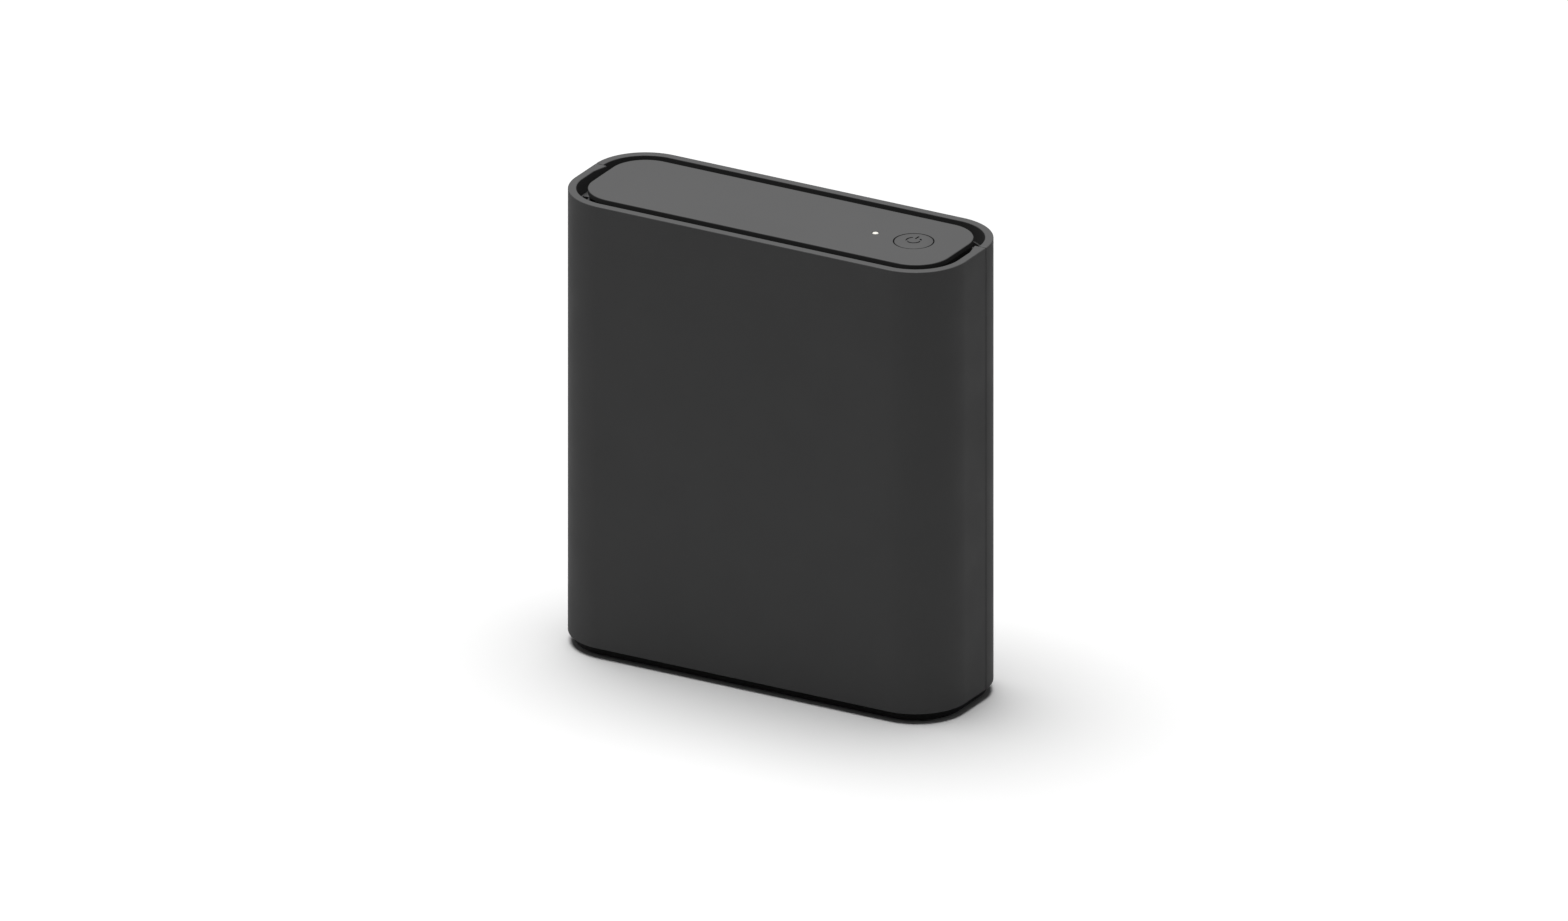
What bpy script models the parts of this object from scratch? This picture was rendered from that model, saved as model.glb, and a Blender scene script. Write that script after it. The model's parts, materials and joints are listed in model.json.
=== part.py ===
"""A desktop cable modem: an upright rounded box with a recessed vent round its top plate.

The front shell wraps the front and both ends, and the rear shell closes the back. A plinth stands
under them, and a top plate with a power button and a status light floats inside the rim. The
board stands upright on bosses of the front shell, its sockets facing the port tray at the back.

Frame: +Z up, the front faces -Y, the origin is on the floor under the middle of the box.
Sizes below are in millimetres; the helpers turn them into Blender's metres.
"""

import math

import bmesh
import bpy
from mathutils import Matrix, Vector

MM = 0.001

# Casing: driving dimensions
WIDTH = 140.0
DEPTH = 48.7
RIM_TOP = 152.7
CORNER = 17.9
WALL = 2.65
PLINTH_HEIGHT = 3.5
PLINTH_INSET = 2.1
VENT_WIDTH = 3.6
FIT = 0.1
EDGE_BREAK = 0.25
CORNER_STEPS = 16

# Seam between the shells, where each straight end meets the rear corner
SEAM_Y = DEPTH / 2 - CORNER
SEAM_GAP = 0.3
LAND = 1.4
LAND_LENGTH = 5.6
SNAP_HEIGHTS = (30.0, 78.0, 126.0)
SNAP_TAB_X = (64.9, 66.5)
SNAP_CATCH_X = (65.6, 67.9)
TONGUE_X = (66.1, 67.1)
TONGUE_REACH = 1.15
LEDGE_X = (-46.0, 0.0, 46.0)

# Corner posts, where the plinth screws to the shells
POST_REACH = 11.0 * math.sqrt(0.5)
POST_X = WIDTH / 2 - CORNER + POST_REACH
POST_Y = DEPTH / 2 - CORNER + POST_REACH
POST_RADIUS = 4.4
POST_BOTTOM = 6.6
POST_TOP = 17.0
PILOT_RADIUS = 1.25

# Plinth and feet
PLINTH_UNDERSIDE = 0.7
PLINTH_TOP = PLINTH_HEIGHT - FIT
FOOT_RADIUS = 4.2
FOOT_POCKET = 0.4
FLOOR_VENT_PITCH = 7.5
FLOOR_VENT_Y = (-9.0, 9.0)
FLOOR_VENT_SIZE = (2.2, 12.0)
LABEL_HALF = (24.0, 2.6)
LABEL_THICKNESS = 0.15
SCREW_HEAD_RADIUS = 2.5
SCREW_HEAD_HEIGHT = 1.6
SCREW_SHANK_RADIUS = 1.05

# Top plate, vent ring, button and light
PLATE_INSET = WALL + VENT_WIDTH
PLATE_THICKNESS = 2.0
PLATE_UNDERSIDE = RIM_TOP - PLATE_THICKNESS
SKIRT = 1.6
RING_TOP = 147.4
RING_BOTTOM = 145.4
RING_OPENING_INSET = 9.25
PLATE_LEG_X = (-48.0, -14.0, 20.0)
BRIDGE = (30.0, 54.0)
BUTTON_X = 47.7
BUTTON_HOLE = 6.5
BUTTON_RADIUS = 6.1
BUTTON_DOME = 0.3
STEM_RADIUS = 1.6
STEM_BOTTOM = 143.6
PLUNGER_RADIUS = 1.6
WELL_DEPTH = 2.2
SWITCH_ROOM = 0.8
LIGHT_X = 34.0
LIGHT_RADIUS = 1.0
PIPE_BOTTOM = 141.2

# Board and port tray
BOARD_REAR = -3.0
BOARD_THICKNESS = 1.6
BOARD_FRONT = BOARD_REAR - BOARD_THICKNESS
BOARD_HALF_WIDTH = 60.0
BOARD_BOTTOM = 12.0
BOARD_TOP = 140.0
BOARD_SCREWS = ((-54.0, 24.0), (54.0, 24.0), (-54.0, 130.0), (54.0, 130.0))
BOSS_RADIUS = 3.2
PORT_Z = 30.0
TRAY_FLOOR = 13.35
TRAY_WALL = 1.5
TRAY_HALF = (44.0, 11.0)
TRAY_OUTER_HALF = (TRAY_HALF[0] + TRAY_WALL, TRAY_HALF[1] + TRAY_WALL)
TRAY_FLANGE_REACH = 3.0
POWER_X = -36.0
RESET_X = -24.0
ETHERNET_X = (-8.5, 10.0)
COAX_X = 32.0
JACK_HALF = (7.6, 6.35)
SHIELD = 0.3

# Heat path
CHIP_Z = 88.0
SINK_HALF_WIDTH = 31.0
SINK_HALF_HEIGHT = 31.0
SINK_BASE_REAR = -7.9
SINK_BASE = 3.0
SINK_FIN_TIP = -20.4
REAR_SINK_HALF = (20.0, 25.0)
REAR_SINK_BASE = 1.4
REAR_SINK_REACH = 11.0
PINS = ((-27.0, 62.0), (27.0, 114.0))

CUTTERS = bpy.data.collections.new("cutters")
MODEM = bpy.data.collections.new("cable_modem")


# ---------------------------------------------------------------- materials


def material(name, colour, roughness, metallic=0.0):
    made = bpy.data.materials.new(name)
    made.use_nodes = True
    shader = made.node_tree.nodes["Principled BSDF"]
    shader.inputs["Base Color"].default_value = (*colour, 1.0)
    shader.inputs["Roughness"].default_value = roughness
    shader.inputs["Metallic"].default_value = metallic
    return made


def materials():
    return {
        "casing": material("casing", (0.045, 0.045, 0.045), 0.55),
        "plinth": material("plinth", (0.008, 0.008, 0.008), 0.6),
        "trim": material("trim", (0.02, 0.02, 0.02), 0.6),
        "rubber": material("rubber", (0.01, 0.01, 0.01), 0.85),
        "label": material("label", (0.75, 0.75, 0.73), 0.5),
        "lens": material("lens", (0.9, 0.93, 0.9), 0.15),
        "board": material("board", (0.02, 0.11, 0.05), 0.45),
        "chip": material("chip", (0.015, 0.015, 0.017), 0.4),
        "pad": material("pad", (0.45, 0.5, 0.6), 0.8),
        "aluminium": material("aluminium", (0.78, 0.79, 0.8), 0.35, 1.0),
        "tin": material("tin", (0.7, 0.7, 0.68), 0.3, 1.0),
        "steel": material("steel", (0.55, 0.55, 0.56), 0.35, 1.0),
        "gold": material("gold", (0.83, 0.62, 0.25), 0.3, 1.0),
        "nickel": material("nickel", (0.72, 0.7, 0.66), 0.25, 1.0),
        "nylon": material("nylon", (0.8, 0.8, 0.77), 0.5),
        "jack": material("jack", (0.012, 0.012, 0.012), 0.5),
    }


# ---------------------------------------------------------------- helpers


def clear_scene():
    for obj in list(bpy.data.objects):
        bpy.data.objects.remove(obj, do_unlink=True)


def place(name, data, centre=(0, 0, 0), turn=(0, 0, 0), look=None):
    """A new object of the modem, its origin at centre."""
    obj = bpy.data.objects.new(name, data)
    obj.location = Vector(centre) * MM
    obj.rotation_euler = turn
    MODEM.objects.link(obj)
    if look is not None:
        data.materials.append(look)
    return obj


def helper(obj):
    """Makes obj a tool that shapes another object and isn't part of the modem."""
    MODEM.objects.unlink(obj)
    CUTTERS.objects.link(obj)
    obj.hide_render = True
    obj.display_type = "WIRE"
    return obj


def finish_round(obj, angle=35.0):
    """Smooth shading between faces that meet at less than angle degrees."""
    obj.data.shade_smooth()
    obj.data.set_sharp_from_angle(angle=math.radians(angle))
    return obj


def mesh_from(bm, name):
    mesh = bpy.data.meshes.new(name)
    bm.to_mesh(mesh)
    bm.free()
    return mesh


def box(name, low, high, look=None):
    """A box between two corners."""
    size = [h - l for l, h in zip(low, high)]
    centre = [(h + l) / 2 for l, h in zip(low, high)]
    bm = bmesh.new()
    bmesh.ops.create_cube(bm, size=MM, matrix=Matrix.Diagonal((*size, 1.0)))
    return place(name, mesh_from(bm, name), centre, look=look)


def boxes(name, middles, size):
    """Equal boxes in one object, for cutting a row of slots."""
    bm = bmesh.new()
    for middle in middles:
        at = Matrix.Translation(Vector(middle) * MM)
        bmesh.ops.create_cube(bm, size=MM, matrix=at @ Matrix.Diagonal((*size, 1.0)))
    return place(name, mesh_from(bm, name))


def rod(name, radius, start, end, look=None, steps=16):
    """A cylinder between two points."""
    start, end = Vector(start), Vector(end)
    along = end - start
    bm = bmesh.new()
    bmesh.ops.create_cone(
        bm,
        cap_ends=True,
        segments=steps,
        radius1=radius * MM,
        radius2=radius * MM,
        depth=along.length * MM,
    )
    turn = along.to_track_quat("Z", "Y").to_euler()
    return finish_round(place(name, mesh_from(bm, name), (start + end) / 2, turn, look))


def turned(name, profile, centre, look=None, steps=24, turn=(0, 0, 0)):
    """A solid of revolution. profile holds (radius, height), down its outer side.

    A profile that starts on the axis ends on it, and any other is a closed loop round a hole.
    """
    bm = bmesh.new()
    points = [bm.verts.new((r * MM, 0, z * MM)) for r, z in profile]
    followers = points[1:] + (points[:1] if profile[0][0] > 0 else [])
    for a, b in zip(points, followers):
        bm.edges.new((a, b))
    obj = place(name, mesh_from(bm, name), centre, turn, look)
    screw = obj.modifiers.new("turn", "SCREW")
    screw.steps = screw.render_steps = steps
    screw.use_merge_vertices = True
    screw.merge_threshold = 1e-6
    screw.use_smooth_shade = False
    return obj


def slab(name, outlines, thickness, centre, turn=(0, 0, 0), look=None):
    """A flat piece cut to closed outlines: the first is its edge and the others are holes."""
    curve = bpy.data.curves.new(name, "CURVE")
    curve.dimensions = "2D"
    curve.fill_mode = "BOTH"
    curve.extrude = thickness / 2 * MM
    for outline in outlines:
        spline = curve.splines.new("POLY")
        spline.points.add(len(outline) - 1)
        for point, (x, y) in zip(spline.points, outline):
            point.co = (x * MM, y * MM, 0, 1)
        spline.use_cyclic_u = True
    return place(name, curve, centre, turn, look)


def as_mesh(obj, whole_caps=False):
    """The curve object made a mesh with its caps welded on, ready for bevels and Booleans.

    whole_caps joins each cap's triangles into large faces, which a bevel needs.
    """
    bpy.context.view_layer.update()
    graph = bpy.context.evaluated_depsgraph_get()
    mesh = bpy.data.meshes.new_from_object(obj.evaluated_get(graph))
    bm = bmesh.new()
    bm.from_mesh(mesh)
    bmesh.ops.remove_doubles(bm, verts=bm.verts, dist=1e-6)
    if whole_caps:
        bmesh.ops.dissolve_limit(bm, angle_limit=math.radians(0.1), verts=bm.verts, edges=bm.edges)
    bm.to_mesh(mesh)
    bm.free()
    name, world, curve = obj.name, obj.matrix_world.copy(), obj.data
    bpy.data.objects.remove(obj)
    bpy.data.curves.remove(curve)
    made = bpy.data.objects.new(name, mesh)
    made.matrix_world = world
    MODEM.objects.link(made)
    return made


def bevel(obj, width, segments=1, angle=40.0):
    rounding = obj.modifiers.new("edge", "BEVEL")
    rounding.width = width * MM
    rounding.segments = segments
    rounding.limit_method = "ANGLE"
    rounding.angle_limit = math.radians(angle)
    return obj


def combine(obj, tool, operation):
    step = obj.modifiers.new(operation.lower(), "BOOLEAN")
    step.operation = operation
    step.solver = "EXACT"
    step.object = helper(tool)
    return obj


def cut(obj, *tools):
    for tool in tools:
        combine(obj, tool, "DIFFERENCE")
    return obj


def join(obj, *tools):
    for tool in tools:
        combine(obj, tool, "UNION")
    return obj


def arc(cx, cy, radius, start, end, steps):
    """Points on an arc, angles in degrees."""
    angles = [math.radians(start + (end - start) * i / steps) for i in range(steps + 1)]
    return [(cx + radius * math.cos(a), cy + radius * math.sin(a)) for a in angles]


def rounded(half_x, half_y, radius, steps=CORNER_STEPS, centre=(0, 0)):
    """A rectangle with round corners, anticlockwise."""
    x, y = half_x - radius, half_y - radius
    corners = ((x, y, 0), (-x, y, 90), (-x, -y, 180), (x, -y, 270))
    cx, cy = centre
    return [p for a, b, t in corners for p in arc(cx + a, cy + b, radius, t, t + 90, steps)]


def casing_outline(inset, steps=CORNER_STEPS):
    """The casing's plan outline, moved in by inset."""
    return rounded(WIDTH / 2 - inset, DEPTH / 2 - inset, CORNER - inset, steps)


def rectangle(half_x, half_y, centre=(0, 0)):
    cx, cy = centre
    corners = ((-half_x, -half_y), (half_x, -half_y), (half_x, half_y), (-half_x, half_y))
    return [(cx + x, cy + y) for x, y in corners]


def circle(radius, centre, steps=20):
    return arc(*centre, radius, 0, 360, steps)[:-1]


def mirrored(points):
    return [(-x, y) for x, y in points]


FACING_BACK = (math.radians(90), 0, 0)  # turns a slab's outline (x, y) to the casing's (X, Z)
ALONG_Y = (math.radians(-90), 0, 0)  # turns a profile's height to the casing's +Y


# ---------------------------------------------------------------- casing


def front_section():
    """Plan section of the front shell: front, both front corners, both ends, and the seam lands."""
    corner_x, corner_y = WIDTH / 2 - CORNER, -(DEPTH / 2 - CORNER)
    edge_y = SEAM_Y - SEAM_GAP / 2
    outer = [(WIDTH / 2, edge_y)]
    outer += arc(corner_x, corner_y, CORNER, 0, -90, CORNER_STEPS)
    inner = arc(corner_x, corner_y, CORNER - WALL, -90, 0, CORNER_STEPS)
    inner += [
        (WIDTH / 2 - WALL, edge_y - LAND_LENGTH),
        (WIDTH / 2 - WALL - LAND, edge_y),
    ]
    return outer + mirrored(outer)[::-1] + mirrored(inner)[::-1] + inner


def rear_section():
    """Plan section of the rear shell: the back and both rear corners."""
    corner_x, corner_y = WIDTH / 2 - CORNER, DEPTH / 2 - CORNER
    edge_y = SEAM_Y + SEAM_GAP / 2

    def quarter(radius):
        start = math.degrees(math.asin((edge_y - corner_y) / radius))
        return arc(corner_x, corner_y, radius, start, 90, CORNER_STEPS)

    outer, inner = quarter(CORNER), quarter(CORNER - WALL)
    return outer + mirrored(outer)[::-1] + mirrored(inner) + inner[::-1]


def shell(name, section, look):
    middle = (RIM_TOP + PLINTH_HEIGHT) / 2
    made = as_mesh(slab(name, [section], RIM_TOP - PLINTH_HEIGHT, (0, 0, middle), look=look), True)
    return bevel(made, EDGE_BREAK)


def corner_posts(side):
    """Posts at the bottom of a shell that take the plinth screws. side is -1 at the front."""
    for x in (-POST_X, POST_X):
        place_at = (x, side * POST_Y)
        post = rod("post", POST_RADIUS, (*place_at, POST_BOTTOM), (*place_at, POST_TOP))
        pilot = rod("pilot", PILOT_RADIUS, (*place_at, 0), (*place_at, POST_TOP - 2), steps=16)
        yield post, pilot


def ring_ledges(side):
    """Small shelves under the vent ring."""
    inner_face = DEPTH / 2 - WALL
    for x in LEDGE_X:
        near, far = sorted((side * (inner_face - 3.2), side * (inner_face + 0.6)))
        yield box("ledge", (x - 4, near, RING_BOTTOM - 2.1), (x + 4, far, RING_BOTTOM - FIT))


def seam_tongue(side):
    """A strip behind the seam that laps the rear shell and keeps light and dust out."""
    x_near, x_far = sorted((side * TONGUE_X[0], side * TONGUE_X[1]))
    low, high = POST_BOTTOM, RING_BOTTOM - 2 * FIT
    return box("tongue", (x_near, SEAM_Y - 0.55, low), (x_far, SEAM_Y + TONGUE_REACH, high))


def front_shell(look):
    """The front shell with its board bosses, screw posts, ring ledges, seam tongues and snap tabs."""
    made = shell("front_shell", front_section(), look)
    for x, z in BOARD_SCREWS:
        wall = -(DEPTH / 2 - WALL)
        boss = rod("boss", BOSS_RADIUS, (x, wall - 0.6, z), (x, BOARD_FRONT - FIT, z))
        pilot = rod("pilot", PILOT_RADIUS, (x, wall + 4, z), (x, BOARD_FRONT + 1, z), steps=16)
        cut(join(made, boss), pilot)
    for post, pilot in corner_posts(-1):
        cut(join(made, post), pilot)
    join(made, *ring_ledges(-1))
    for side in (-1, 1):
        join(made, seam_tongue(side))
        for z in SNAP_HEIGHTS:
            x_near, x_far = sorted((side * SNAP_TAB_X[0], side * SNAP_TAB_X[1]))
            tab = box("tab", (x_near, SEAM_Y - 3, z - 5), (x_far, SEAM_Y + 3.85, z + 5))
            window = box(
                "window",
                (x_near - 1, SEAM_Y + 1.05, z - 2.6),
                (x_far + 1, SEAM_Y + 3.05, z + 2.6),
            )
            cut(join(made, tab), window)
    return made


def rear_shell(look):
    """The rear shell with its port opening, screw posts, ring ledges and snap catches."""
    made = shell("rear_shell", rear_section(), look)
    opening = rounded(TRAY_OUTER_HALF[0] + 0.3, TRAY_OUTER_HALF[1] + 0.3, 3.3, 6)
    cutter = as_mesh(slab("opening", [opening], 20, (0, DEPTH / 2, PORT_Z), FACING_BACK))
    cut(made, cutter)
    for post, pilot in corner_posts(1):
        cut(join(made, post), pilot)
    join(made, *ring_ledges(1))
    for side in (-1, 1):
        for z in SNAP_HEIGHTS:
            x_near, x_far = sorted((side * SNAP_CATCH_X[0], side * SNAP_CATCH_X[1]))
            join(made, box("catch", (x_near, SEAM_Y + 1.35, z - 2.2), (x_far, SEAM_Y + 2.75, z + 2.2)))
    return made


def land_notches(bottom, top):
    """Tools that clear the seam lands from a ring that fits inside the shells."""
    near_y, far_y = SEAM_Y - LAND_LENGTH - 0.5, SEAM_Y + 0.4
    for side in (-1, 1):
        x_near, x_far = sorted((side * (WIDTH / 2 - WALL - LAND - 0.3), side * WIDTH / 2))
        yield box("notch", (x_near, near_y, bottom), (x_far, far_y, top))


def plinth(look):
    """The black foot of the case: a vented floor with a rim that plugs into the shells."""
    thickness = PLINTH_TOP - PLINTH_UNDERSIDE
    middle = (PLINTH_TOP + PLINTH_UNDERSIDE) / 2
    made = as_mesh(slab("plinth", [casing_outline(PLINTH_INSET)], thickness, (0, 0, middle), look=look))
    vents = [(x * FLOOR_VENT_PITCH, y, middle) for y in FLOOR_VENT_Y for x in range(-5, 6)]
    cut(made, boxes("vents", vents, (*FLOOR_VENT_SIZE, 2 * thickness)))
    rim_outlines = [casing_outline(WALL + 0.3, 10), casing_outline(WALL + 2.1, 10)]
    rim_height = POST_BOTTOM - 0.2 - PLINTH_TOP + 0.5
    rim_middle = POST_BOTTOM - 0.2 - rim_height / 2
    rim = as_mesh(slab("rim", rim_outlines, rim_height, (0, 0, rim_middle)))
    join(made, cut(rim, *land_notches(PLINTH_TOP + 0.1, POST_BOTTOM + 1)))
    for x in (-POST_X, POST_X):
        for y in (-POST_Y, POST_Y):
            seat = rod("seat", POST_RADIUS - 0.3, (x, y, PLINTH_TOP - 1), (x, y, POST_BOTTOM - FIT))
            pocket = rod("pocket", FOOT_RADIUS + 0.15, (x, y, 0), (x, y, PLINTH_UNDERSIDE + FOOT_POCKET))
            head_room = rod("head_room", SCREW_HEAD_RADIUS + 0.2, (x, y, 0), (x, y, 3.3))
            hole = rod("hole", 1.5, (x, y, 0), (x, y, 10), steps=16)
            cut(join(made, seat), pocket, head_room, hole)
    return made


def feet_and_label(rubber, label):
    corners = [(x, y) for x in (-POST_X, POST_X) for y in (-POST_Y, POST_Y)]
    top = PLINTH_UNDERSIDE + FOOT_POCKET - FIT
    for number, (x, y) in enumerate(corners, 1):
        profile = ((0, top), (FOOT_RADIUS, top), (FOOT_RADIUS, 0.35), (FOOT_RADIUS - 0.35, 0), (0, 0))
        turned(f"rubber_foot_{number}", profile, (x, y, 0), rubber, 16)
    slab(
        "rating_label",
        [rounded(*LABEL_HALF, 0.8, 3)],
        LABEL_THICKNESS,
        (0, 0, PLINTH_UNDERSIDE - FIT - LABEL_THICKNESS / 2),
        look=label,
    )


def screw(name, seat, direction, length, look):
    """A pan-head screw. seat is the point under its head, direction the way that its tip points."""
    head, r, shank = SCREW_HEAD_HEIGHT, SCREW_HEAD_RADIUS, SCREW_SHANK_RADIUS
    profile = [(0, head), (r * 0.75, head), (r, head * 0.5), (r, 0)]
    profile += [(shank, 0), (shank, 1.2 - length), (0, -length)]
    direction = Vector(direction)
    turn = (-direction).to_track_quat("Z", "Y").to_euler()
    made = turned(name, profile, seat, look, 12, turn)
    for angle in (0, 90):
        bar = box("cross", (-1.4, -0.3, head - 0.9), (1.4, 0.3, head + 1))
        bar.matrix_world = (
            Matrix.Translation(Vector(seat) * MM)
            @ turn.to_matrix().to_4x4()
            @ Matrix.Rotation(math.radians(angle), 4, "Z")
            @ Matrix.Translation((0, 0, (head + 0.05) * MM))
        )
        cut(made, bar)
    return made


# ---------------------------------------------------------------- top


def vent_slots():
    """Outlines of the air slots that follow the gap round the top plate."""
    near, far = 5.7, 3.5
    x_run, y_run = WIDTH / 2 - CORNER, DEPTH / 2 - CORNER
    middle_y = DEPTH / 2 - (near + far) / 2
    half_width = (near - far) / 2
    slots = []
    pitch = 2 * x_run / 10
    for i in range(10):
        x = -x_run + pitch * (i + 0.5)
        for y in (-middle_y, middle_y):
            slots.append(rectangle(pitch / 2 - 1.2, half_width, (x, y)))
    end_slot = (y_run - LAND_LENGTH / 2 - 0.6) / 2
    for x in (-1, 1):
        end = (x * (WIDTH / 2 - (near + far) / 2), end_slot + 0.6 - y_run)
        slots.append(rectangle(half_width, end_slot - 0.6, end))
    for sx, sy, base in ((1, 1, 0), (-1, 1, 90), (-1, -1, 180), (1, -1, 270)):
        for start in (6, 50):
            outer = arc(sx * x_run, sy * y_run, CORNER - far, base + start, base + start + 34, 3)
            inner = arc(sx * x_run, sy * y_run, CORNER - near, base + start, base + start + 34, 3)
            slots.append(outer + inner[::-1])
    return slots


def vent_ring(look):
    """The black frame at the bottom of the gap. Its bridge guides the button's stem."""
    half_y = DEPTH / 2 - RING_OPENING_INSET
    half_x = WIDTH / 2 - RING_OPENING_INSET
    openings = [
        rounded((BRIDGE[0] + half_x) / 2, half_y, 5, 4, ((BRIDGE[0] - half_x) / 2, 0)),
        rounded((half_x - BRIDGE[1]) / 2, half_y - 3, 2, 2, ((half_x + BRIDGE[1]) / 2, 0)),
        circle(STEM_RADIUS + 0.3, (BUTTON_X, 0), 16),
        circle(LIGHT_RADIUS + 0.9, (LIGHT_X, 0), 12),
    ]
    outlines = [casing_outline(WALL + 0.15, 12)] + openings + vent_slots()
    middle = (RING_TOP + RING_BOTTOM) / 2
    ring = as_mesh(slab("vent_ring", outlines, RING_TOP - RING_BOTTOM, (0, 0, middle), look=look))
    return cut(ring, *land_notches(RING_BOTTOM - 1, RING_TOP + 1))


def top_plate(look):
    """The plate inside the rim, with a skirt that stands on the vent ring and six hooked legs."""
    holes = [circle(BUTTON_HOLE, (BUTTON_X, 0), 32), circle(LIGHT_RADIUS + 0.15, (LIGHT_X, 0), 12)]
    outlines = [casing_outline(PLATE_INSET, 12)] + holes
    middle = RIM_TOP - PLATE_THICKNESS / 2
    made = as_mesh(slab("top_plate", outlines, PLATE_THICKNESS, (0, 0, middle), look=look))
    bottom = RING_TOP + FIT
    height = PLATE_UNDERSIDE + 0.6 - bottom
    skirt_outlines = [casing_outline(PLATE_INSET + 0.4, 8), casing_outline(PLATE_INSET + SKIRT, 8)]
    join(made, as_mesh(slab("skirt", skirt_outlines, height, (0, 0, bottom + height / 2))))
    edge = DEPTH / 2 - RING_OPENING_INSET
    for x in PLATE_LEG_X:
        for side in (-1, 1):
            near, far = sorted((side * (edge - 1.5), side * (edge - 0.3)))
            leg = box("leg", (x - 2.5, near, RING_BOTTOM - 1.2), (x + 2.5, far, PLATE_UNDERSIDE + 0.5))
            near, far = sorted((side * (edge - 0.8), side * (edge + 0.7)))
            hook = box("hook", (x - 2.5, near, RING_BOTTOM - 1.2), (x + 2.5, far, RING_BOTTOM - FIT))
            join(made, leg, hook)
    return made


def power_symbol():
    """Outlines of a plain power mark: an open ring, and a bar in its gap."""
    radius, stroke, gap = 2.2, 0.45, 35
    start, end = 90 + gap, 450 - gap
    ring = arc(0, 0, radius + stroke / 2, start, end, 14)
    ring += arc(0, 0, radius - stroke / 2, end, start, 14)
    return [ring, rectangle(stroke / 2, 1.1, (0, radius))]


def power_button(look):
    """The domed cap, its flange under the plate and the stem down to the switch."""
    drop = RIM_TOP
    dome_steps = 4
    sphere = (BUTTON_RADIUS**2 + BUTTON_DOME**2) / (2 * BUTTON_DOME)
    profile = []
    for i in range(dome_steps):
        r = (BUTTON_RADIUS - 0.15) * i / dome_steps
        profile.append((r, BUTTON_DOME - sphere + math.sqrt(sphere**2 - r**2)))
    profile += [
        (BUTTON_RADIUS - 0.15, 0),
        (BUTTON_RADIUS, -0.15),
        (BUTTON_RADIUS, -2.2),
        (BUTTON_HOLE + 0.85, -2.2),
        (BUTTON_HOLE + 0.85, -3.4),
        (STEM_RADIUS, -3.4),
        (STEM_RADIUS, STEM_BOTTOM - drop),
        (0, STEM_BOTTOM - drop),
    ]
    made = turned("power_button", profile, (BUTTON_X, 0, drop), look, 32)
    mark_bottom = drop + BUTTON_DOME - 0.35
    for outline in power_symbol():
        mark = as_mesh(slab("mark", [outline], 2.0, (BUTTON_X, 0, mark_bottom + 1.0)))
        cut(made, mark)
    return made


def light_pipe(look):
    top = RIM_TOP - PIPE_BOTTOM
    shoulder = PLATE_UNDERSIDE - FIT - PIPE_BOTTOM
    seat = RING_TOP + FIT - PIPE_BOTTOM
    profile = (
        (0, top),
        (LIGHT_RADIUS * 0.8, top),
        (LIGHT_RADIUS, top - 0.2),
        (LIGHT_RADIUS, shoulder),
        (2.4, shoulder),
        (2.4, seat),
        (1.5, seat),
        (1.5, 0),
        (0, 0),
    )
    return turned("light_pipe", profile, (LIGHT_X, 0, PIPE_BOTTOM), look, 12)


# ---------------------------------------------------------------- board and its parts


def main_board(look):
    middle_z = (BOARD_TOP + BOARD_BOTTOM) / 2
    half_z = (BOARD_TOP - BOARD_BOTTOM) / 2
    holes = [circle(1.6, (x, z - middle_z), 12) for x, z in BOARD_SCREWS + PINS]
    outlines = [rounded(BOARD_HALF_WIDTH, half_z, 2, 3)] + holes
    middle_y = (BOARD_REAR + BOARD_FRONT) / 2
    return slab("main_board", outlines, BOARD_THICKNESS, (0, middle_y, middle_z), FACING_BACK, look)


def on_board(name, x, z, half_x, half_z, height, look, side=-1, lift=FIT):
    """A part that lies on the board: side -1 is its front face, 1 its rear face."""
    face = BOARD_FRONT if side < 0 else BOARD_REAR
    near, far = sorted((face + side * lift, face + side * (lift + height)))
    return box(name, (x - half_x, near, z - half_z), (x + half_x, far, z + half_z), look)


def chips(looks):
    chip = looks["chip"]
    bevel(on_board("modem_chip", 0, CHIP_Z, 11.5, 11.5, 2.2, chip), 0.3)
    on_board("chip_thermal_pad", 0, CHIP_Z, 12, 12, 0.8, looks["pad"], lift=2.4)
    bevel(on_board("memory_chip", -42, CHIP_Z, 4.5, 6.5, 1.0, chip), 0.15)
    bevel(on_board("flash_chip", -26, 36, 7, 5, 1.1, chip), 0.15)
    bevel(on_board("ethernet_phy_chip", 0, 36, 6, 6, 1.0, chip), 0.15)
    bevel(on_board("crystal", -42, 106, 2.5, 1.6, 1.3, looks["tin"]), 0.3)
    bevel(on_board("tuner_chip", 34, 33, 4.5, 4.5, 1.0, chip), 0.15)
    bevel(on_board("ethernet_transformer", 0.75, 52, 12.5, 4.6, 5.0, chip, side=1), 0.4)
    bevel(on_board("power_inductor", -38, 56, 3.6, 3.6, 4.2, chip, side=1), 0.5)
    on_board("rear_thermal_pad", 0, CHIP_Z, 12, 12, 0.8, looks["pad"], side=1)


def finned(name, rear, side, base_half, base, reach, fins, spread, look):
    """A heat sink: a base plate whose back is at y = rear, and fins that stand off it to one side."""
    half_x, half_z = base_half
    face, tip = rear + side * base, rear + side * reach
    low, high = sorted((rear, face))
    sink = box(name, (-half_x, low, CHIP_Z - half_z), (half_x, high, CHIP_Z + half_z), look)
    low, high = sorted((face - side * 0.5, tip))
    for i in range(fins):
        x = spread * (2 * i / (fins - 1) - 1)
        fin = box("fin", (x - 0.65, low, CHIP_Z - half_z + 0.5), (x + 0.65, high, CHIP_Z + half_z - 0.5))
        join(sink, fin)
    return sink


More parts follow.
